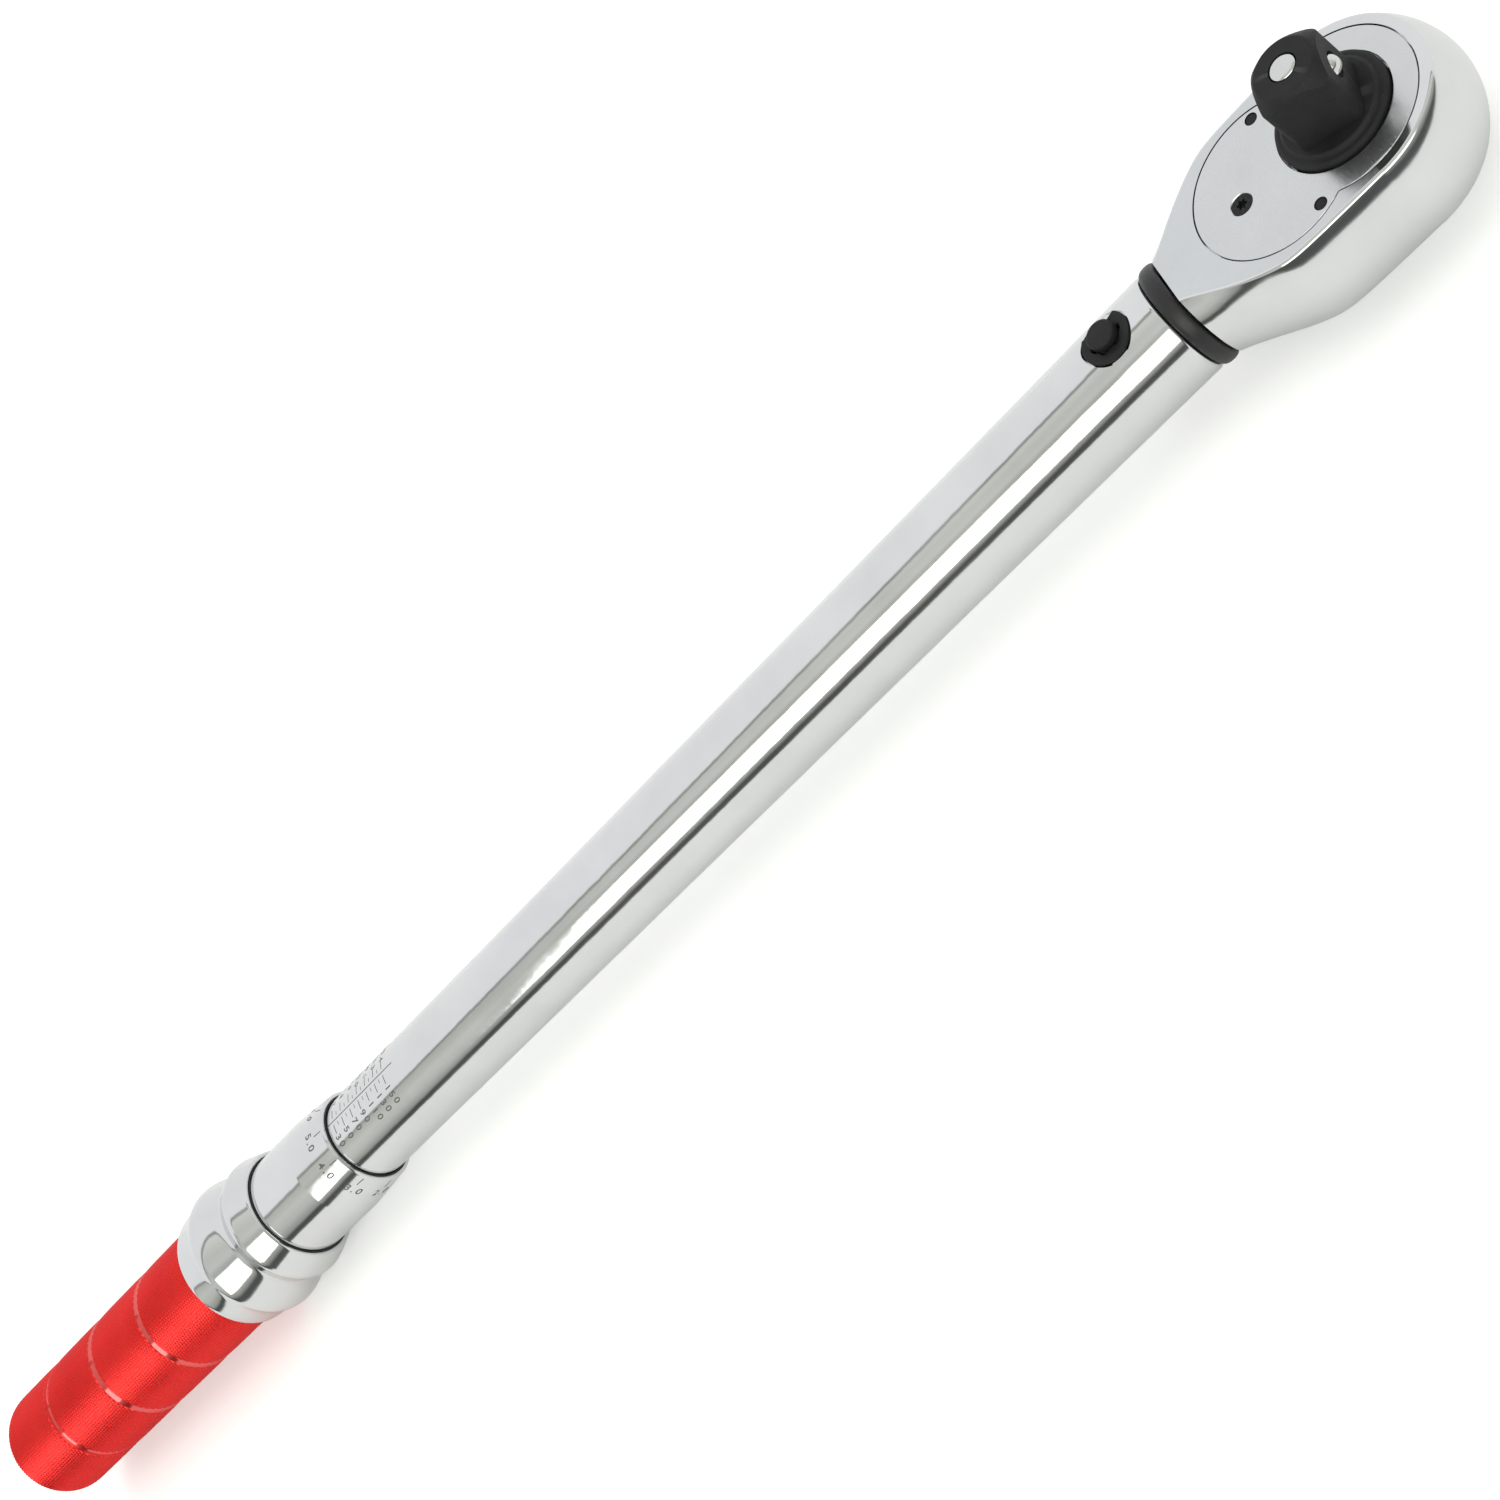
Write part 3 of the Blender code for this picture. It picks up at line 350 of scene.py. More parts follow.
class Surface(Graph):
    """A procedural material on the part's own coordinates, with helpers for its nodes."""

    def __init__(self, name, metallic):
        self.material = bpy.data.materials.new(name)
        self.material.use_nodes = True
        self.nodes = self.material.node_tree.nodes
        self.links = self.material.node_tree.links
        self.shader = self.nodes["Principled BSDF"]
        self.shader.inputs["Metallic"].default_value = metallic
        self.coords = self.nodes.new("ShaderNodeTexCoord").outputs["Object"]

    def link(self, source, target):
        self.links.new(source, target)

    def stretched(self, scale):
        mapping = self.nodes.new("ShaderNodeMapping")
        mapping.inputs["Scale"].default_value = scale
        self.link(self.coords, mapping.inputs["Vector"])
        return mapping.outputs["Vector"]

    def noise(self, scale, detail=4.0, roughness=0.55, stretch=(1, 1, 1)):
        node = self.nodes.new("ShaderNodeTexNoise")
        node.inputs["Scale"].default_value = scale
        node.inputs["Detail"].default_value = detail
        node.inputs["Roughness"].default_value = roughness
        self.link(self.stretched(stretch), node.inputs["Vector"])
        return node.outputs["Fac"]

    def ramp(self, source, stops):
        node = self.nodes.new("ShaderNodeValToRGB")
        ramp = node.color_ramp
        while len(ramp.elements) < len(stops):
            ramp.elements.new(0.5)
        for element, (position, value) in zip(ramp.elements, stops):
            element.position = position
            colour = value if isinstance(value, tuple) else (value, value, value)
            element.color = (*colour, 1.0)
        self.link(source, node.inputs["Fac"])
        return node.outputs["Color"]

    def between(self, source, low, high):
        node = self.nodes.new("ShaderNodeMapRange")
        node.inputs["From Min"].default_value = 0.3
        node.inputs["From Max"].default_value = 0.7
        node.inputs["To Min"].default_value = low
        node.inputs["To Max"].default_value = high
        self.link(source, node.inputs["Value"])
        return node.outputs["Result"]

    def weighted(self, first, share, second):
        """The first value by its share, added to the second by the rest."""
        part = self.maths("MULTIPLY", first, share)
        return self.maths("ADD", part, self.maths("MULTIPLY", second, 1 - share))

    def mixed(self, factor, first, second):
        node = self.nodes.new("ShaderNodeMix")
        node.data_type = "RGBA"
        self.link(factor, node.inputs[0])
        for socket, value in ((node.inputs[6], first), (node.inputs[7], second)):
            if isinstance(value, tuple):
                socket.default_value = (*value, 1.0)
            else:
                self.link(value, socket)
        return node.outputs[2]

    def bump(self, source, distance, strength=1.0, onto=None):
        node = self.nodes.new("ShaderNodeBump")
        node.inputs["Strength"].default_value = strength
        node.inputs["Distance"].default_value = distance
        self.link(source, node.inputs["Height"])
        if onto is not None:
            self.link(onto, node.inputs["Normal"])
        return node.outputs["Normal"]

    def wear(self, low=0.52, high=0.6):
        """1 on outward edges, broken up by a fine noise: rubbed edges on the black oxide, a painted highlight
        on the red knurl's points.
        """
        edge = self.nodes.new("ShaderNodeNewGeometry").outputs["Pointiness"]
        broken = self.maths("MULTIPLY", self.noise(900.0), 0.05)
        return self.ramp(self.maths("ADD", edge, broken), [(low, 0.0), (high, 1.0)])

    def finish(self, colour=None, roughness=None, normal=None):
        for socket, value in (("Base Color", colour), ("Roughness", roughness), ("Normal", normal)):
            if value is not None:
                self.link(value, self.shader.inputs[socket])
        return self.material


def chrome_material():
    tint = (0.745, 0.755, 0.76)
    s = Surface("chrome_plate", 1.0)
    patches = s.noise(55.0, 3.0)
    smears = s.noise(420.0, 5.0, 0.6, (0.12, 1.0, 1.0))
    colour = s.ramp(patches, [(0.35, tuple(c * 0.94 for c in tint)), (0.65, tint)])
    roughness = s.between(s.weighted(patches, 0.5, smears), 0.05, 0.12)
    ripple = s.bump(s.noise(140.0, 2.0), 0.00006, 0.6)
    grain = s.bump(s.noise(5200.0, 3.0), 0.000004, 0.5, ripple)
    return s.finish(colour, roughness, grain)


def satin_material(name, tint, rough, stretch, grain=0.00003, patches=30.0):
    """Ground or turned metal: fine lines along one direction, and soft clouds of dulling."""
    s = Surface(name, 1.0)
    cloud = s.noise(patches, 4.0)
    lines = s.noise(2600.0, 3.0, 0.6, stretch)
    pits = s.noise(1500.0, 2.0)
    shade = s.weighted(cloud, 0.65, lines)
    colour = s.ramp(shade, [(0.3, tuple(c * 0.9 for c in tint)), (0.7, tint)])
    roughness = s.between(shade, *rough)
    normal = s.bump(lines, grain, 0.5, s.bump(pits, 0.00001, 0.4))
    return s.finish(colour, roughness, normal)


def black_oxide_material():
    s = Surface("black_oxide", 0.12)
    cloud = s.noise(180.0, 4.0)
    speckle = s.noise(2400.0, 3.0)
    dark = s.ramp(cloud, [(0.3, (0.007, 0.007, 0.008)), (0.7, (0.016, 0.0155, 0.017))])
    colour = s.mixed(s.wear(0.6, 0.78), dark, (0.035, 0.035, 0.037))
    s.shader.inputs["Specular IOR Level"].default_value = 0.34
    roughness = s.between(s.weighted(cloud, 0.5, speckle), 0.52, 0.7)
    return s.finish(colour, roughness, s.bump(speckle, 0.00003, 0.4))


def rubber_material():
    s = Surface("nitrile_rubber", 0.0)
    speckle = s.noise(1800.0, 4.0)
    colour = s.ramp(s.noise(120.0), [(0.3, (0.006, 0.006, 0.007)), (0.7, (0.013, 0.013, 0.014))])
    s.shader.inputs["Specular IOR Level"].default_value = 0.5
    return s.finish(colour, s.between(speckle, 0.36, 0.5), s.bump(speckle, 0.00003, 0.35))


def anodised_material(name, coat, polish):
    """Red dye in a thin oxide over metal, with a painted highlight on the points of the knurl and painted
    shade in its pits.
    """
    s = Surface(name, 0.75)
    s.shader.inputs["Coat Weight"].default_value = coat
    s.shader.inputs["Coat Roughness"].default_value = 0.06
    s.shader.inputs["Coat IOR"].default_value = 1.5 + 0.45 * polish
    cloud = s.noise(45.0, 4.0)
    speckle = s.noise(1600.0, 3.0)
    dye = s.ramp(cloud, [(0.3, (0.70, 0.013, 0.012)), (0.7, (0.82, 0.022, 0.018))])
    # Painted shade: where pointiness is low, in the knurl's pits, the dye is darkened towards a deep red, by
    # less as polish rises.
    edge = s.nodes.new("ShaderNodeNewGeometry").outputs["Pointiness"]
    pits = s.maths("MULTIPLY", s.ramp(edge, [(0.42, 1.0), (0.5, 0.0)]), 0.55 * (1 - polish))
    colour = s.mixed(pits, dye, (0.30, 0.002, 0.004))
    # Painted highlight: the outward points of the knurl are mixed towards a pale orange-red.
    colour = s.mixed(s.wear(0.56, 0.74), colour, (0.92, 0.12, 0.09))
    low, high = 0.22 - 0.12 * polish, 0.36 - 0.18 * polish
    roughness = s.between(s.weighted(cloud, 0.4, speckle), low, high)
    return s.finish(colour, roughness, s.bump(speckle, 0.00002, 0.4))


def marking_material():
    """Etched figures filled with dark stain, thin in places."""
    s = Surface("etched_marking", 0.2)
    speckle = s.noise(2600.0, 3.0)
    colour = s.ramp(speckle, [(0.35, (0.085, 0.078, 0.07)), (0.7, (0.17, 0.155, 0.14))])
    return s.finish(colour, s.between(speckle, 0.45, 0.7), s.bump(speckle, 0.00001, 0.3))


CHROME = chrome_material()
HEAD_SATIN = satin_material(
    "ground_chrome", (0.69, 0.71, 0.72), (0.2, 0.3), (0.25, 1.0, 1.0), 0.000012, 60.0
)
PLATE_SATIN = satin_material(
    "ground_steel", (0.70, 0.712, 0.72), (0.2, 0.32), (1.0, 0.25, 1.0), 0.000012, 70.0
)
STEEL = satin_material("turned_steel", (0.62, 0.625, 0.63), (0.18, 0.3), (1.0, 1.0, 0.3))
BRIGHT_STEEL = satin_material("polished_steel", (0.72, 0.72, 0.72), (0.08, 0.18), (1.0, 1.0, 1.0), 0.00001)
SPRING = satin_material("spring_steel", (0.30, 0.30, 0.32), (0.25, 0.42), (1.0, 0.3, 0.3))
BRONZE = satin_material("turned_bronze", (0.70, 0.50, 0.24), (0.2, 0.36), (1.0, 1.0, 0.3))
OXIDE = black_oxide_material()
RUBBER = rubber_material()
RED = anodised_material("red_anodised", 0.25, 0.0)
RED_GROOVE = anodised_material("red_groove", 1.0, 1.0)
MARKING = marking_material()
BY_SLOT = {
    "chrome": CHROME,
    "satin_steel": STEEL,
    "black_oxide": OXIDE,
    "spring_steel": SPRING,
    "rubber": RUBBER,
    "brass": BRONZE,
    "red_anodised": RED,
}


def dress(obj, material, body, slot, *nodes):
    """Gives a finished piece its material, the body it rides on and the CAD nodes that it stands for."""
    if material is not None:
        obj.data.materials.clear()
        obj.data.materials.append(material)
    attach(obj, body)
    if nodes:
        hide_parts(*nodes)
    return obj


def dress_cad_nodes():
    """The pieces inside the wrench keep their own solids and get the finish of their slot."""
    for subpart in frame["record"]["subparts"]:
        obj = frame["nodes"][subpart["node"]]
        obj.data.materials.clear()
        obj.data.materials.append(BY_SLOT[subpart["material_slot"]])


# ---------------------------------------------------------------- head


def head_half_width(x):
    taper = NECK_RADIUS + HEAD_SIDE_SLOPE * (x - NECK_END_X)
    return (HEAD_RADIUS + taper - hypot(HEAD_RADIUS - taper, HEAD_SIDE_BLEND)) / 2


def head_section(x, share):
    """(height, inset from the widest outline) up the bulging side and round its top edge, share 0 to 1."""
    neck = smooth_step((NECK_BLEND_START_X - x) / (NECK_BLEND_START_X - NECK_END_X))
    bulge = HEAD_SIDE_ARC + neck * (NECK_RADIUS - HEAD_SIDE_ARC)
    edge_z = (HEAD_HALF_THICKNESS - HEAD_EDGE_RADIUS) / (1 - HEAD_EDGE_RADIUS / bulge)
    inset = bulge - sqrt(bulge * bulge - edge_z * edge_z)
    if share <= HEAD_SIDE_SHARE:
        z = edge_z * share / HEAD_SIDE_SHARE
        return z, bulge - sqrt(bulge * bulge - z * z)
    tilt = asin(sqrt(1 - (edge_z / bulge) ** 2))
    turn = tilt * (1 - (share - HEAD_SIDE_SHARE) / (1 - HEAD_SIDE_SHARE))
    z = HEAD_HALF_THICKNESS - HEAD_EDGE_RADIUS * (1 - cos(turn))
    return z, inset + HEAD_EDGE_RADIUS * (sin(tilt) - sin(turn))


def head_outline(level, front_count=84, side_count=72):
    """One closed ring of the shell: level runs from -1, the back face, to 1, the front face."""
    side = -1 if level < 0 else 1
    z, inset = head_section(0.0, abs(level))
    half = [(x, y, side * z) for x, y in arc(0.0, 0.0, HEAD_RADIUS - inset, 0.0, pi / 2, front_count)]
    for index in range(1, side_count):
        x = NECK_END_X * index / (side_count - 1)
        z, inset = head_section(x, abs(level))
        half.append((x, head_half_width(x) - inset, side * z))
    return half + [(x, -y, z) for x, y, z in reversed(half[1:])]


def make_head():
    upper = [HEAD_SIDE_SHARE * i / 12 for i in range(1, 13)]
    upper += [HEAD_SIDE_SHARE + (1 - HEAD_SIDE_SHARE) * i / 8 for i in range(1, 9)]
    levels = [-share for share in reversed(upper)] + [0.0] + upper
    shape = bmesh.new()
    rings = []
    for level in levels:
        rings.append([shape.verts.new((x * MM, y * MM, z * MM)) for x, y, z in head_outline(level)])
    for lower, higher in zip(rings, rings[1:]):
        for i in range(len(lower)):
            j = (i + 1) % len(lower)
            shape.faces.new((lower[i], lower[j], higher[j], higher[i]))
    shape.faces.new(list(reversed(rings[0])))
    shape.faces.new(rings[-1])
    head = add_object("head_shell", finished_mesh("head_shell", shape), WRENCH)
    combine(head, flat_piece("cut", [plate_outline(0.25)], PLATE_LOW_Z - 0.4, 12.0, 0.01))
    spindle_hole = turned("cut", [(0.0, 3.3), (-12.0, 3.3)], across_z(SPINDLE_X), 64, edge=0.01)
    combine(head, spindle_hole)
    head.data.materials.append(CHROME)
    head.data.materials.append(HEAD_SATIN)
    for face in head.data.polygons:
        if abs(face.normal.z) > 0.999 and face.area > 0.0002:
            face.material_index = 1
    resharpen(head, 30)
    weighted_normals(head)
    dress(head, None, "head", "chrome", "ratchet_head")
    pad = turned("head_back_pad", [(-10.0, 12.0), (-10.6, 12.0)], WRENCH, 128, edge=0.12)
    dress(weighted_normals(pad), HEAD_SATIN, "head", "chrome")
    shank = turned("head_shank", [(NECK_END_X + 0.5, 8.0), (-62.0, 8.0), (-66.0, 7.0), (-96.0, 7.0)])
    dress(weighted_normals(shank), STEEL, "head", "satin_steel")


def plate_outline(grow=0.0, count=110):
    drive, pawl = PLATE_RADIUS_DRIVE + grow, PLATE_RADIUS_PAWL + grow
    centre = PLATE_PAWL_X
    meet_x = (drive**2 - pawl**2 + centre**2) / (2 * centre)
    meet_y = sqrt(drive**2 - meet_x**2)
    drive_end = atan2(meet_y, meet_x)
    pawl_start = atan2(meet_y, meet_x - centre)
    front = arc(0.0, 0.0, drive, -drive_end, drive_end, count)
    rear = arc(centre, 0.0, pawl, pawl_start, 2 * pi - pawl_start, count)
    return front + rear[1:-1]


def make_cover_plate():
    bore = list(reversed(circle(BOSS_RADIUS + 0.3, 128)))
    plate = flat_piece("drive_cover", [plate_outline(), bore], PLATE_LOW_Z, HEAD_HALF_THICKNESS, 0.12)
    countersink = turned("cut", [(10.9, 2.9), (9.7, 1.7), (7.0, 1.7)], across_z(SPINDLE_X), 64, edge=0.02)
    combine(plate, countersink)
    for side in (1, -1):
        at_pin = across_z(COVER_PIN_X, side * COVER_PIN_Y)
        combine(plate, turned("cut", [(12.0, 1.28), (7.0, 1.28)], at_pin, 48, edge=0.01))
    resharpen(plate, 30)
    weighted_normals(plate)
    dress(plate, PLATE_SATIN, "head", "satin_steel", "cover_plate")
    for index, side in ((1, 1), (2, -1)):
        profile = [(10.2, 0.95), (10.05, 1.2), (4.0, 1.2)]
        stud = turned(f"cover_stud_{index}", profile, across_z(COVER_PIN_X, side * COVER_PIN_Y), 48, edge=0.1)
        dress(weighted_normals(stud), OXIDE, "head", "black_oxide", f"cover_pin_{index}")


# ---------------------------------------------------------------- drive


def square_outline(grow=0.0):
    cut = (SQUARE * sqrt(2) - SQUARE_ACROSS_CORNERS) / 2
    corner = cut / (sqrt(2) - 1)
    inner = SQUARE / 2 - corner
    points = []
    for quarter in range(4):
        start = quarter * pi / 2
        x = inner * sqrt(2) * cos(start + pi / 4)
        y = inner * sqrt(2) * sin(start + pi / 4)
        points += arc(x, y, corner + grow, start, start + pi / 2, 14)
    return points


def make_drive():
    boss = turned(
        "drive_square",
        [
            (SQUARE_BASE_Z, 9.0),
            (SQUARE_BASE_Z - 0.5, 9.6),
            (11.5, 9.7),
            (11.5, 10.35),
            (11.15, BOSS_RADIUS),
            (8.0, BOSS_RADIUS),
        ],
        WRENCH,
        160,
        edge=0.12,
    )
    turned_frame = across_z(0.0, 0.0, SQUARE_TURN)
    square = flat_piece("cut", [square_outline()], 9.0, SQUARE_END_Z + 1.0, 0.01, turned_frame)
    corner = SQUARE_ACROSS_CORNERS / 2 + 1.0
    cone = turned(
        "cut",
        [(SQUARE_END_Z, SQUARE_END_RADIUS), (SQUARE_END_Z - corner + SQUARE_END_RADIUS, corner),
         (8.5, corner)],
        WRENCH,
        160,
        edge=0.25,
    )
    combine(square, cone, "INTERSECT")
    combine(boss, square, "UNION")
    button_bore, ball_bore = BUTTON_RADIUS + 0.22, BALL_RADIUS + 0.2
    combine(boss, turned("cut", [(30.0, button_bore), (12.0, button_bore)], WRENCH, 64, edge=0.01))
    combine(boss, turned("cut", [(12.0, ball_bore), (0.5, ball_bore)], at_ball(0.0), 64, edge=0.01))
    bevel = boss.modifiers.new("worn_edges", "BEVEL")
    bevel.width = 0.16 * MM
    bevel.segments = 2
    bevel.limit_method = "ANGLE"
    bevel.angle_limit = radians(28)
    bevel.use_clamp_overlap = True
    resharpen(boss, 60)
    weighted_normals(boss)
    dress(boss, OXIDE, "drive", "black_oxide", "drive_gear")
    button = turned(
        "release_button",
        [(SQUARE_END_Z + 0.25, 2.05), (SQUARE_END_Z - 0.05, BUTTON_RADIUS), (25.0, BUTTON_RADIUS),
         (24.0, 1.3), (21.3, 1.3), (20.3, 2.3), (14.0, 2.3), (13.0, 1.1), (10.8, 1.1)],
        WRENCH,
        72,
        edge=0.2,
    )
    dress(weighted_normals(button), BRIGHT_STEEL, "release", "satin_steel", "release_pin")
    centre = SQUARE / 2 + BALL_PROUD - BALL_RADIUS
    profile = [(BALL_RADIUS * cos(pi * i / 32), BALL_RADIUS * sin(pi * i / 32)) for i in range(33)]
    mesh = revolve_mesh("detent_bead", profile, 64, False)
    ball = add_object("detent_bead", mesh, at_ball(centre))
    dress(ball, BRIGHT_STEEL, "ball", "satin_steel", "detent_ball")


def at_ball(out):
    """A frame on the detent ball's axis, whose Z points out of the square."""
    turn = across_z(0.0, 0.0, SQUARE_TURN)
    return turn @ Matrix.Translation((out * MM, 0, BALL_Z * MM)) @ Matrix.Rotation(pi / 2, 4, "Y")


# ---------------------------------------------------------------- selector


def at_lever():
    return across_z(SPINDLE_X, 0.0, -LEVER_SWING)


def make_selector():
    top = HEAD_HALF_THICKNESS - 0.1
    screw_profile = [(top, 2.2), (top - 0.85, 1.3), (3.0, 1.3), (2.6, 0.9)]
    screw = turned("selector_bolt", screw_profile, at_lever(), 64, edge=0.12)
    lobes = []
    for step in range(72):
        angle = 2 * pi * step / 72
        radius = 0.92 + 0.2 * cos(6 * angle)
        lobes.append((radius * cos(angle), radius * sin(angle)))
    combine(screw, flat_piece("cut", [lobes], top - 1.0, top + 1.0, 0.01, at_lever()))
    dress(weighted_normals(resharpen(screw)), OXIDE, "lever", "black_oxide", "selector_screw")
    disc = arc(0.0, 0.0, 8.0, -radians(146), radians(146), 72)
    tail = arc(-15.5, 0.0, 3.2, radians(100), radians(260), 28)
    lever = flat_piece("reverse_lever_body", [disc + tail], -16.6, -10.7, 1.1, at_lever(), 4)
    dish = turned("cut", [(-16.1, 4.4), (-18.0, 6.2)], at_lever(), 96, edge=0.05)
    combine(lever, dish)
    for index in range(5):
        groove_x = -17.4 + 1.5 * index
        groove = turned("cut", [(4.5, 0.42), (-4.5, 0.42)],
                        at_lever() @ Matrix.Translation((groove_x * MM, 0, -16.72 * MM))
                        @ Matrix.Rotation(pi / 2, 4, "X"), 24, edge=0.02)
        combine(lever, groove)
    dress(weighted_normals(resharpen(lever)), CHROME, "lever", "chrome", "reverse_lever")
    spindle = turned("selector_spindle", [(7.6, 2.3), (-6.0, 2.3), (-6.0, 3.0), (-11.2, 3.0)], at_lever(), 64)
    dress(weighted_normals(spindle), STEEL, "lever", "satin_steel")


# ---------------------------------------------------------------- tube


def make_tube():
    low, high = TUBE_LOW.x / MM, TUBE_HIGH.x / MM
    radius = TUBE_SKIN_RADIUS
    tube = turned(
        "barrel_tube",
        [(high, radius - 0.5), (high - 0.5, radius), (-90.0, radius), (-330.0, radius), (low, radius),
         (low, 9.2), (-330.0, 9.2), (-90.0, 9.2), (high, 9.2)],
        segments=256,
        ring=True,
        edge=0.3,
    )
    for low_z, high_z in ((SPOT_FACE_Z, 14.0), (-14.0, -SPOT_FACE_Z)):
        spot = [(high_z, SPOT_FACE_RADIUS), (low_z, SPOT_FACE_RADIUS)]
        combine(tube, turned("cut", spot, across_z(PIVOT_X), 96, edge=0.01))
    combine(tube, turned("cut", [(13.0, 3.0), (-13.0, 3.0)], across_z(PIVOT_X), 64, edge=0.01))
    dress(weighted_normals(resharpen(tube)), CHROME, "tube", "chrome", "torque_tube")


def make_pivot():
    pivot = turned(
        "pivot_stud",
        [(13.3, 2.65), (13.0, 3.0), (11.55, 3.0), (11.5, 2.2), (10.3, 2.2), (10.1, 2.8),
         (-10.3, 2.8), (-10.3, 4.6), (-11.6, 4.6), (-11.9, 4.2)],
        across_z(PIVOT_X),
        96,
        edge=0.14,
    )
    dress(weighted_normals(pivot), OXIDE, "tube", "black_oxide", "pivot_pin")
    opening = radians(48)
    outer = arc(0.0, 0.0, 5.3, pi / 2 + opening, 5 * pi / 2 - opening, 90)
    inner = []
    for angle in (radians(382), radians(270), radians(158)):
        half = radians(17)
        inner += arc(0.0, 0.0, 3.55, angle + half + radians(16), angle + half, 6)
        inner += arc(0.0, 0.0, 2.62, angle + half - radians(4), angle - half + radians(4), 8)
        inner += arc(0.0, 0.0, 3.55, angle - half, angle - half - radians(16), 6)
    clip = flat_piece("pivot_circlip", [outer + inner], 10.42, 11.4, 0.12, across_z(PIVOT_X))
    dress(weighted_normals(resharpen(clip)), OXIDE, "tube", "black_oxide", "pivot_clip")


def make_seal():
    low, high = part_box("seal_ring")
    centre = (low.x + high.x) / 2 / MM - SEAL_SHIFT
    middle = (high.z - low.z) / 2 / MM - SEAL_HALF_HEIGHT
    section = []
    for step in range(48):
        angle = 2 * pi * step / 48
        along, out = cos(angle), sin(angle)
        side = 1 if along > 0 else -1
        x = centre + SEAL_HALF_WIDTH * abs(along) ** 0.8 * side
        section.append((x, middle + SEAL_HALF_HEIGHT * out))
    ring = add_object("neck_seal", revolve_mesh("neck_seal", section, 160, True), ALONG_X)
    dress(ring, RUBBER, "tube", "rubber", "seal_ring")


# ---------------------------------------------------------------- scale marks


def on_barrel(x, across, height):
    """A point on a turned surface: along X, round it by an arc length, at a radius."""
    angle = across / height
    return Vector((x, -height * sin(angle), height * cos(angle)))


def mark_strip(shape, start, end, width, surface, pieces=14):
    """A thin raised band between two (x, across) points of a turned surface."""
    (x0, a0), (x1, a1) = start, end
    length = hypot(x1 - x0, a1 - a0)
    side_x, side_a = -(a1 - a0) / length * width / 2, (x1 - x0) / length * width / 2
    rows = []
    for i in range(pieces + 1):
        t = i / pieces
        x, a = x0 + (x1 - x0) * t, a0 + (a1 - a0) * t
        row = []
        for side, lift in ((-1, -0.03), (-1, 0.018), (1, 0.018), (1, -0.03)):
            px, pa = x + side * side_x, a + side * side_a
            row.append(shape.verts.new(on_barrel(px, pa, surface(px) + lift)))
        rows.append(row)
    for first, second in zip(rows, rows[1:]):
        for k in range(4):
            m = (k + 1) % 4
            shape.faces.new((first[k], first[m], second[m], second[k]))
    shape.faces.new(rows[0])
    shape.faces.new(list(reversed(rows[-1])))


def figures(shape, text, x, start, size, pitch, surface):
    """Numerals wrapped on a turned surface, each centred a pitch after the last, their tops towards +X."""
    across = start
    for letter in text:
        step = pitch * (0.6 if letter == "." else 1.0)
        across += (step - pitch) / 2
        one_figure(shape, letter, x, across, size, surface)
        across += (step + pitch) / 2


def one_figure(shape, text, x, across, size, surface):
    curve = bpy.data.curves.new("figures", "FONT")
    curve.body = text
    curve.size = size
    curve.align_x = "CENTER"
    curve.align_y = "CENTER"
    curve.extrude = 0.024
    curve.offset = 0.012 * size
    guide = bpy.data.objects.new("figures", curve)
    bpy.context.scene.collection.objects.link(guide)
    graph = bpy.context.evaluated_depsgraph_get()
    mesh = bpy.data.meshes.new_from_object(guide.evaluated_get(graph))
    bpy.data.objects.remove(guide, do_unlink=True)
    letters = bmesh.new()
    letters.from_mesh(mesh)
    bpy.data.meshes.remove(mesh)
    bmesh.ops.remove_doubles(letters, verts=letters.verts, dist=0.0001)
    long_edges = [e for e in letters.edges if e.calc_length() > size * 0.3]
    bmesh.ops.subdivide_edges(letters, edges=long_edges, cuts=2)
    bmesh.ops.triangulate(letters, faces=letters.faces)
    made = {}
    for vert in letters.verts:
        px, pa = x + vert.co.y, across + vert.co.x
        made[vert.index] = shape.verts.new(on_barrel(px, pa, surface(px) + vert.co.z - 0.006))
    letters.verts.ensure_lookup_table()
    for face in letters.faces:
        shape.faces.new([made[v.index] for v in face.verts])
    letters.free()


def marks_object(name, shape, body, slot):
    bmesh.ops.scale(shape, verts=shape.verts, vec=(MM, MM, MM))
    dress(add_object(name, finished_mesh(name, shape), WRENCH, flat=True), MARKING, body, slot)


def make_tube_scale():
    """Two columns of figures either side of a long reading line."""
    shape = bmesh.new()

    def surface(_):
        return TUBE_SKIN_RADIUS

    mark_strip(shape, (SCALE_START_X - 3.0, 0.0), (SCALE_START_X + 7.15 * SCALE_STEP, 0.0), 0.24, surface, 2)
    for index, value in enumerate(SCALE_VALUES):
        x = SCALE_START_X + index * SCALE_STEP
        mark_strip(shape, (x, -3.3), (x, -0.9), 0.2, surface)
        mark_strip(shape, (x, 0.9), (x, 3.3), 0.2, surface)
        figures(shape, str(value), x - 0.1, 4.3, 2.6, 1.85, surface)
        figures(shape, f"{value * NM_PER_LBFT:.1f}", x - 0.1, -9.3, 2.2, 1.5, surface)
    for index in range(len(SCALE_VALUES) - 1):
        x = SCALE_START_X + (index + 0.5) * SCALE_STEP
        mark_strip(shape, (x, -1.9), (x, -0.9), 0.16, surface)
        mark_strip(shape, (x, 0.9), (x, 1.9), 0.16, surface)
    marks_object("tube_scale", shape, "tube", "black_oxide")


def sleeve_radius(x):
    """The sleeve's outside behind its chamfer: a slow taper, then straight."""
    depth = SLEEVE_MOUTH_X - x
    return min(12.88 + (depth - 0.4) / 11.9, 13.97)


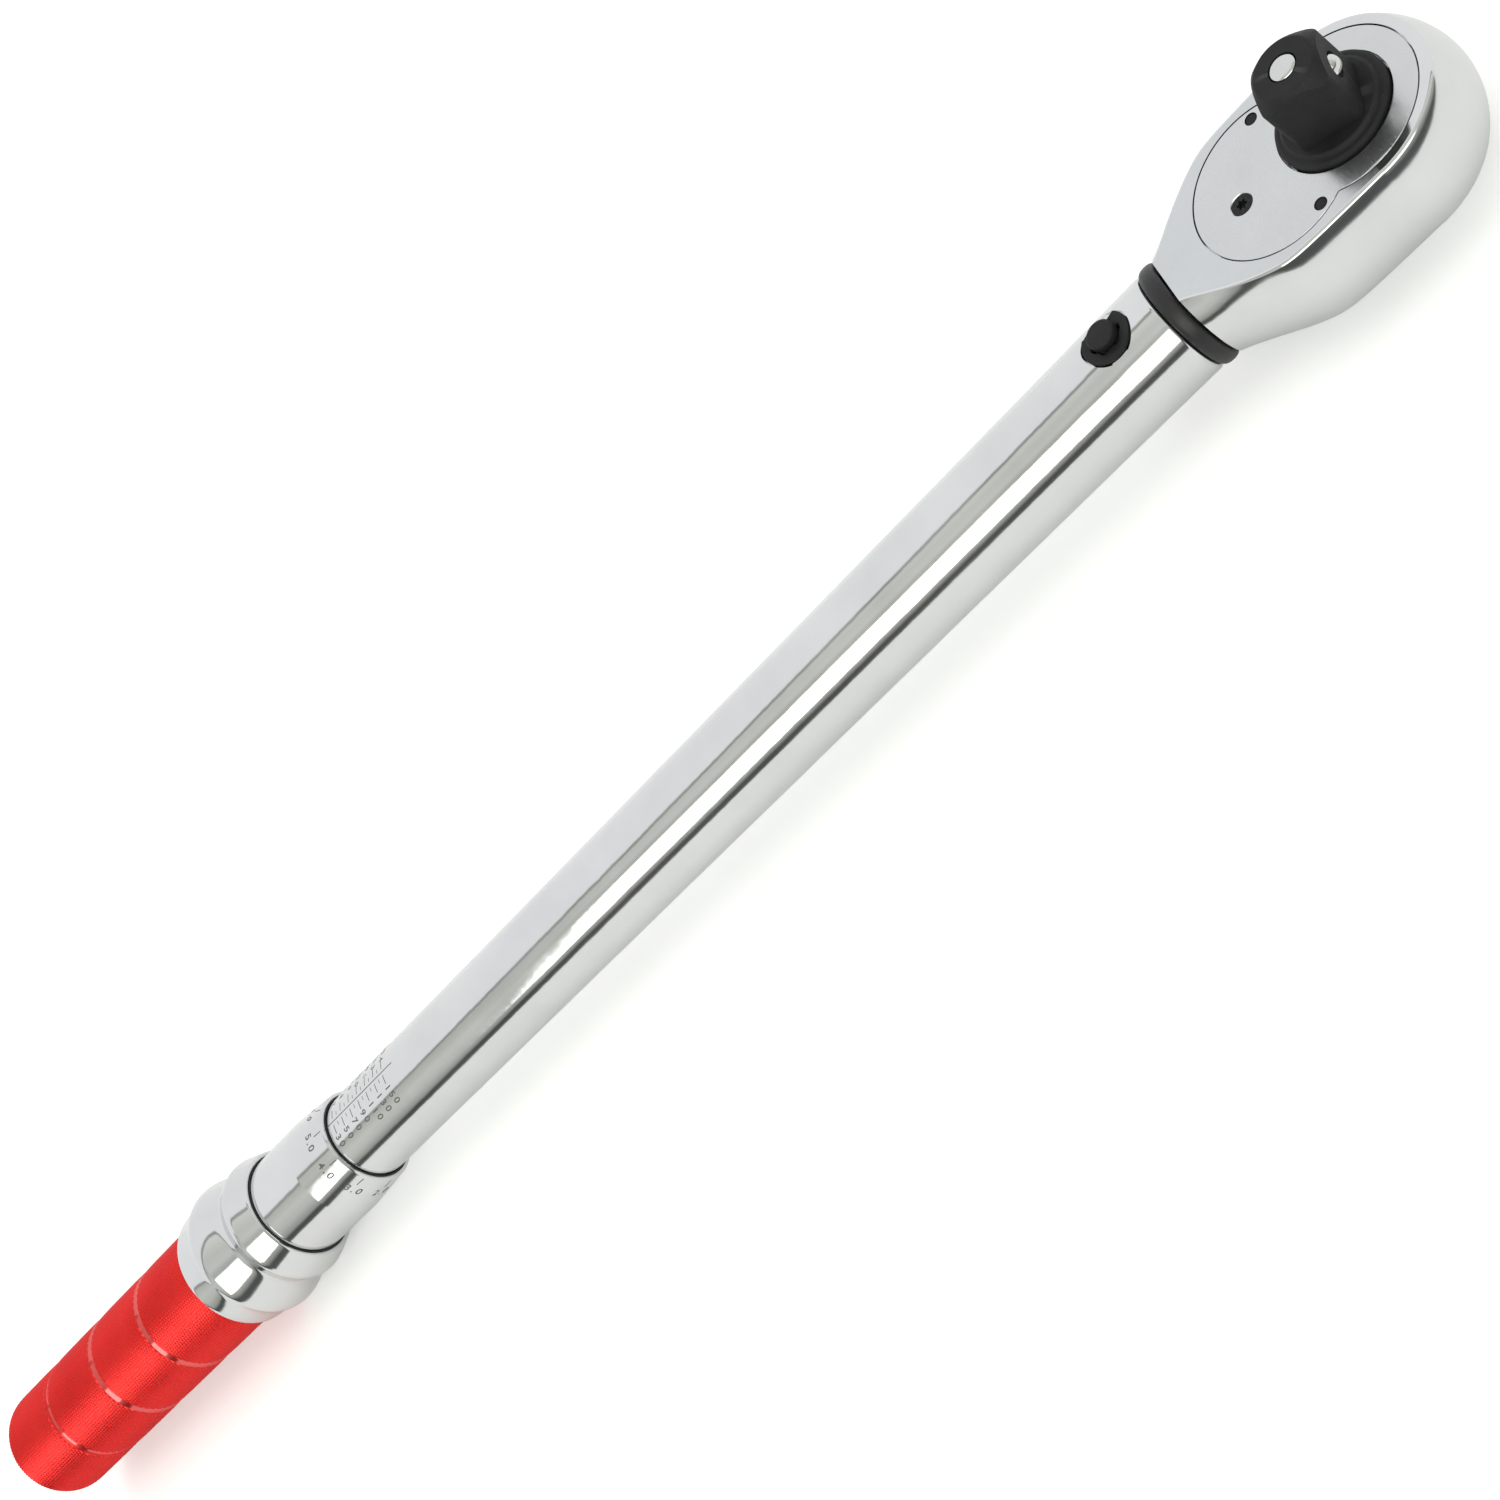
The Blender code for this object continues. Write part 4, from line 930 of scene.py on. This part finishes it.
def make_sleeve_scale():
    shape = bmesh.new()
    for index in range(10):
        angle = radians(36 * index + 3)
        reach = 13.2
        across = angle * reach
        start = SLEEVE_MOUTH_X - 0.75
        mark_strip(shape, (start, across), (start - 2.5, across), 0.24, sleeve_radius, 2)
        value = (5 - index) % 10
        figures(shape, f"{value}.0", start - 4.5, across - 1.2, 2.9, 2.0, sleeve_radius)
    marks_object("sleeve_scale", shape, "handle", "black_oxide")


# ---------------------------------------------------------------- handle


def make_wiper(name, lip, body, node):
    wiper = turned(name, lip, segments=160, ring=True, edge=0.15)
    dress(weighted_normals(wiper), RUBBER, body, "rubber", node)


def make_sleeve():
    mouth = SLEEVE_MOUTH_X
    sleeve = turned(
        "micrometer_sleeve",
        [(mouth, 12.4), (mouth - 0.4, 12.88), (mouth - 12.3, 13.88), (mouth - 13.3, 13.96), (-365.7, 13.98),
         (-365.7, 13.0), (-379.6, 13.0), (-379.6, 11.75), (mouth - 2.9, 11.75), (mouth - 2.9, 11.92),
         (mouth, 11.92)],
        segments=224,
        ring=True,
        edge=0.12,
    )
    dress(weighted_normals(sleeve), CHROME, "handle", "chrome", "thimble_sleeve")
    lip = [(mouth + 0.1, 11.66), (mouth - 0.1, 11.9), (mouth - 2.5, 11.9), (mouth - 2.5, 11.5),
           (mouth, 11.46)]
    make_wiper("sleeve_seal", lip, "handle", "sleeve_wiper")


def make_collar():
    front, rear = COLLAR_FRONT_X, COLLAR_REAR_X
    ring = [(-0.3, 15.4), (-5.4, 17.12), (-6.4, 17.36), (-7.2, 17.38), (-8.0, 17.16), (-9.0, 16.7),
            (-10.1, 16.27), (-11.1, 16.12), (-12.0, 16.2), (-13.0, 16.5), (-14.3, 17.05), (-15.8, 17.68),
            (-17.2, 18.2), (-18.7, 18.62), (-20.0, 18.81), (-21.0, 18.74), (-22.8, 18.15), (-25.8, 17.55),
            (-29.1, 17.1)]
    outside = [(front, 15.0)] + [(front + x, radius) for x, radius in eased(ring)] + [(rear, 16.8)]
    inside = [(rear, 15.95), (front - 12.9, 15.95), (front - 12.9, 15.2), (front - 8.2, 15.2),
              (front - 8.2, 14.35), (front - 2.4, 14.35), (front - 0.1, 14.3)]
    collar = turned("pull_collar", outside + inside, segments=224, ring=True, edge=0.35, steps=5)
    dress(weighted_normals(collar), CHROME, "collar", "chrome", "lock_collar")
    lip = [(front + 0.1, 14.12), (front - 0.1, 14.29), (front - 2.1, 14.31), (front - 2.1, 14.04),
           (front, 14.02)]
    make_wiper("collar_seal", lip, "collar", "collar_wiper")


def grip_skin(s):
    """The knurled outline as (x, radius, share of knurl) at a length s along it from the front edge."""
    if s <= GRIP_STRAIGHT:
        x = GRIP_START_X - s
        radius, share = GRIP_RADIUS, min(1.0, s / 1.2)
        for groove in GROOVE_X:
            away = abs(x - groove)
            share = min(share, smooth_step((away - 0.75) / 0.6))
            radius -= 0.16 * max(0.0, 1 - away / 6.0) ** 2
            if away < GROOVE_HALF_WIDTH:
                radius -= GROOVE_DEPTH * cos(pi / 2 * away / GROOVE_HALF_WIDTH)
        return x, radius, max(share, 0.0)
    turn = min((s - GRIP_STRAIGHT) / GRIP_BEVEL, pi / 2)
    x = GRIP_END_X + GRIP_BEVEL - GRIP_BEVEL * sin(turn)
    radius = GRIP_RADIUS - GRIP_BEVEL + GRIP_BEVEL * cos(turn)
    return x, radius, smooth_step((pi / 2 - turn) / 0.25)


def make_grip():
    """A diamond knurl: rows of pyramids, each row shifted by half a pitch, on a turned skin."""
    total = GRIP_STRAIGHT + GRIP_BEVEL * pi / 2
    rows = round(total / (KNURL_PITCH / 2))
    columns = 2 * round(pi * GRIP_RADIUS / (KNURL_PITCH / 2) / 2)
    shape = bmesh.new()
    grid = []
    for i in range(rows + 1):
        x, radius, share = grip_skin(total * i / rows)
        ahead = Vector(grip_skin(min(total * i / rows + 0.01, total))[:2])
        behind = Vector(grip_skin(max(total * i / rows - 0.01, 0.0))[:2])
        along = (ahead - behind).normalized()
        out_x, out_r = along.y, -along.x
        row = []
        for j in range(columns):
            drop = -KNURL_DEPTH * share if (i + j) % 2 else 0.0
            px, pr = x + out_x * drop, radius + out_r * drop
            angle = 2 * pi * j / columns
            row.append(shape.verts.new((px, pr * sin(angle), pr * cos(angle))))
        grid.append(row)
    for i in range(rows):
        for j in range(columns):
            k = (j + 1) % columns
            a, b, c, d = grid[i][j], grid[i][k], grid[i + 1][k], grid[i + 1][j]
            if (i + j) % 2:
                shape.faces.new((a, b, c))
                shape.faces.new((a, c, d))
            else:
                shape.faces.new((a, b, d))
                shape.faces.new((b, c, d))
    inner = [(GRIP_END_X, 8.5), (GRIP_END_X + 0.5, 8.2), (-447.0, 8.2), (-447.0, 6.2), (-396.0, 6.2),
             (-396.0, 11.9), (-381.0, 11.9), (-381.0, 13.35), (GRIP_FRONT_X, 13.35), (GRIP_FRONT_X, 15.0)]
    last = grid[-1]
    for x, radius in inner:
        row = []
        for j in range(columns):
            angle = 2 * pi * j / columns
            row.append(shape.verts.new((x, radius * sin(angle), radius * cos(angle))))
        for j in range(columns):
            k = (j + 1) % columns
            shape.faces.new((last[j], last[k], row[k], row[j]))
        last = row
    for j in range(columns):
        k = (j + 1) % columns
        shape.faces.new((last[j], last[k], grid[0][k], grid[0][j]))
    bmesh.ops.scale(shape, verts=shape.verts, vec=(MM, MM, MM))
    mesh = finished_mesh("knurled_grip", shape)
    grip = add_object("knurled_grip", mesh, WRENCH)
    dress(grip, RED, "handle", "red_anodised", "grip")
    mesh.materials.append(RED_GROOVE)
    for face in mesh.polygons[:2 * rows * columns]:
        x = grip_skin(total * (face.index // (2 * columns) + 0.5) / rows)[0]
        if min(abs(x - groove) for groove in GROOVE_X) < GROOVE_SHINE_HALF_WIDTH:
            face.material_index = 1
    cap = [(-458.0, 7.4), (-458.4, 7.95), (GRIP_END_X + 1.4, 7.95), (GRIP_END_X + 0.9, 7.4)]
    plug = turned("grip_end_cap", cap, segments=128, edge=0.2)
    socket = flat_piece("cut", [circle(2.3, 6)], GRIP_END_X - 2.0, GRIP_END_X + 6.0, 0.01, ALONG_X)
    combine(plug, socket)
    dress(weighted_normals(resharpen(plug)), OXIDE, "handle", "black_oxide", "end_plug")


# ---------------------------------------------------------------- springs


def coil_spring(name, start, end, mean_radius, wire_radius, turns, matrix, per_turn=48, around=14):
    """A compression spring along Z, with its last turn at each end lying flat."""
    shape = bmesh.new()
    dead = 2.16 * wire_radius
    pitch = (end - start - 2 * dead) / (turns - 2)
    rings = []
    for index in range(turns * per_turn + 1):
        turn = index / per_turn
        angle = 2 * pi * turn
        live = min(max(turn - 1.0, 0.0), turns - 2)
        climb = dead * min(turn, 1.0) + pitch * live + dead * max(turn - turns + 1, 0.0)
        ring = []
        for step in range(around):
            side = 2 * pi * step / around
            radius = mean_radius + wire_radius * cos(side)
            height = start + climb + wire_radius * sin(side)
            ring.append(shape.verts.new((radius * cos(angle) * MM, radius * sin(angle) * MM, height * MM)))
        rings.append(ring)
    for first, second in zip(rings, rings[1:]):
        for step in range(around):
            after = (step + 1) % around
            shape.faces.new((first[step], first[after], second[after], second[step]))
    shape.faces.new(rings[0])
    shape.faces.new(rings[-1])
    return weighted_normals(add_object(name, finished_mesh(name, shape), matrix))


def make_springs():
    """The three springs, each a coil made as its own mesh and carried by its body."""
    front, rear = MAIN_SPRING_FRONT_X, MAIN_SPRING_REAR_X
    main = coil_spring("main_coil", -284.6, front - 1.5, mean_radius=7.15, wire_radius=1.5, turns=14,
                       matrix=ALONG_X)
    dress(main, SPRING, "tube", "spring_steel", "main_spring")
    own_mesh(main)
    button = coil_spring("button_coil", 2.6, 12.4, mean_radius=1.9, wire_radius=0.32, turns=5, matrix=WRENCH)
    dress(button, SPRING, "drive", "spring_steel", "release_spring")
    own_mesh(button)
    rear = LOCK_SPRING_REAR_X
    lock = coil_spring("collar_coil", rear + 0.32, COLLAR_FRONT_X - 9.0, mean_radius=14.65, wire_radius=0.32,
                       turns=3, matrix=ALONG_X, per_turn=96)
    dress(lock, SPRING, "handle", "spring_steel", "lock_spring")
    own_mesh(lock)


# ---------------------------------------------------------------- studio


class Sky(Graph):
    """Helpers for the world's own nodes."""

    def __init__(self, world):
        self.nodes, self.links = world.node_tree.nodes, world.node_tree.links

    def remap(self, value, low, high, to_low, to_high):
        node = self.nodes.new("ShaderNodeMapRange")
        for name, number in (("From Min", low), ("From Max", high), ("To Min", to_low), ("To Max", to_high)):
            node.inputs[name].default_value = number
        self.links.new(value, node.inputs["Value"])
        return node.outputs["Result"]

    def profile(self, degree, stops):
        """A grey that follows (degree, grey) stops between -180 and 180 degrees."""
        node = self.nodes.new("ShaderNodeValToRGB")
        ramp = node.color_ramp
        while len(ramp.elements) < len(stops):
            ramp.elements.new(0.5)
        for element, (position, grey) in zip(ramp.elements, stops):
            element.position = (position + 180) / 360
            element.color = (grey, grey, grey, 1.0)
        self.links.new(self.remap(degree, -180, 180, 0, 1), node.inputs["Fac"])
        return self.maths("MULTIPLY", node.outputs["Color"], 1.0)

    def blend(self, factor, first, second):
        rest = self.maths("SUBTRACT", 1.0, factor)
        return self.maths("ADD", self.maths("MULTIPLY", rest, first), self.maths("MULTIPLY", factor, second))

    def window(self, value, low, high, soft):
        rise = self.remap(value, low - soft, low + soft, 0, 1)
        return self.maths("MULTIPLY", rise, self.remap(value, high - soft, high + soft, 1, 0))


def make_world():
    """A light tent: white above and behind, grey at the front with a bright panel in it, dark at its foot."""
    world = bpy.data.worlds.new("studio")
    bpy.context.scene.world = world
    world.use_nodes = True
    sky = Sky(world)
    coords = sky.nodes.new("ShaderNodeTexCoord").outputs["Generated"]
    split = sky.nodes.new("ShaderNodeSeparateXYZ")
    sky.links.new(coords, split.inputs["Vector"])
    x, y, z = split.outputs
    front = sky.maths("MULTIPLY", y, -1.0)
    tilt = sky.maths("MULTIPLY", sky.maths("ARCTAN2", front, z), degrees(1))
    reach = sky.maths("SQRT", sky.maths("ADD", sky.maths("MULTIPLY", y, y), sky.maths("MULTIPLY", z, z)))
    aside = sky.maths("MULTIPLY", sky.maths("ARCTAN2", x, reach), degrees(1))
    near = sky.profile(tilt, [(-180, 0.95), (-28, 0.95), (12, 0.68), (26, 0.72), (34, 0.52), (68, 0.50),
                              (75, 0.36), (80, 0.10), (87, 0.10), (90, 0.3), (96, 0.95)])
    far = sky.profile(tilt, [(-180, 0.95), (-28, 0.95), (20, 0.56), (42, 0.70), (58, 0.62), (68, 0.48),
                             (75, 0.38), (80, 0.09), (87, 0.10), (90, 0.3), (96, 0.95)])
    wall = sky.blend(sky.remap(aside, -37, -30, 1, 0), near, far)
    seam = sky.maths("SUBTRACT", tilt, sky.remap(aside, -45, -5, 18.8, -15.2))
    ceiling = sky.remap(seam, -3.5, -2.0, 1, 0)
    shade = sky.blend(sky.window(seam, -2.5, 3.5, 1.2), wall, 0.36)
    base = sky.blend(ceiling, shade, 0.95)
    left_edge = sky.remap(tilt, 40, 68, -32.4, -35.6)
    inside = sky.remap(sky.maths("SUBTRACT", aside, left_edge), -0.6, 0.6, 0, 1)
    inside = sky.maths("MULTIPLY", inside, sky.remap(aside, 26, 36, 1, 0))
    panel = sky.maths("MULTIPLY", inside, sky.window(tilt, 38.5, 68.5, 1.0))
    grey = sky.blend(panel, base, 3.0)
    warm = sky.window(seam, -2.5, 90.0, 1.5)
    colour = sky.nodes.new("ShaderNodeCombineColor")
    for channel, cool, warmer in (("Red", 0.985, 0.985), ("Green", 0.995, 1.0), ("Blue", 1.0, 0.93)):
        tinted = sky.maths("MULTIPLY", grey, sky.blend(warm, cool, warmer))
        sky.links.new(tinted, colour.inputs[channel])
    seen = sky.nodes.new("ShaderNodeLightPath").outputs["Is Camera Ray"]
    plain = sky.nodes.new("ShaderNodeMix")
    plain.data_type = "RGBA"
    plain.inputs[7].default_value = (1.0, 1.0, 1.0, 1.0)
    sky.links.new(seen, plain.inputs[0])
    sky.links.new(colour.outputs["Color"], plain.inputs[6])
    sky.links.new(plain.outputs[2], sky.nodes["Background"].inputs["Color"])


def area_light(name, size, location, target, power):
    data = bpy.data.lights.new(name, "AREA")
    data.shape = "RECTANGLE"
    data.size, data.size_y = size
    data.energy = power
    obj = bpy.data.objects.new(name, data)
    obj.location = location
    obj.rotation_euler = (Vector(target) - Vector(location)).to_track_quat("-Z", "Y").to_euler()
    bpy.context.scene.collection.objects.link(obj)
    return obj


def make_floor():
    shape = bmesh.new()
    bmesh.ops.create_grid(shape, x_segments=4, y_segments=4, size=4.0)
    mesh = bpy.data.meshes.new("floor")
    shape.to_mesh(mesh)
    shape.free()
    floor = bpy.data.objects.new("floor", mesh)
    floor.location.z = CAD_LOW.z - 0.0002
    bpy.context.scene.collection.objects.link(floor)
    s = Surface("pale_floor", 0.0)
    colour = s.ramp(s.noise(6.0), [(0.3, 0.80), (0.7, 0.83)])
    s.shader.inputs["Specular IOR Level"].default_value = 0.1
    glow = s.maths("MULTIPLY", s.nodes.new("ShaderNodeLightPath").outputs["Is Camera Ray"], 0.3)
    s.link(glow, s.shader.inputs["Emission Strength"])
    s.shader.inputs["Emission Color"].default_value = (1.0, 1.0, 1.0, 1.0)
    floor.data.materials.append(s.finish(colour, s.between(s.noise(40.0), 0.75, 0.9)))


def make_camera():
    data = bpy.data.cameras.new("camera")
    data.sensor_width = 36.0
    data.lens = CAMERA_LENS
    data.clip_start = 0.01
    data.clip_end = 20.0
    camera = bpy.data.objects.new("camera", data)
    x, y, z = CAMERA_PLACE
    camera.location = (x * MM, y * MM, z * MM + AXIS_HEIGHT)
    camera.rotation_euler = [radians(angle) for angle in CAMERA_ANGLES]
    bpy.context.scene.collection.objects.link(camera)
    bpy.context.scene.camera = camera


def make_studio():
    make_world()
    make_floor()
    fill = area_light("overhead_fill", (2.4, 2.4), (-0.2, 0.3, 2.2), (-0.2, 0.0, 0.0), 14.0)
    fill.visible_glossy = False
    fill.visible_camera = False
    bpy.context.scene.view_settings.view_transform = "Standard"


dress_cad_nodes()
make_head()
make_cover_plate()
make_drive()
make_selector()
make_tube()
make_pivot()
make_seal()
make_tube_scale()
make_sleeve()
make_sleeve_scale()
make_collar()
make_grip()
make_springs()
make_studio()
make_camera()
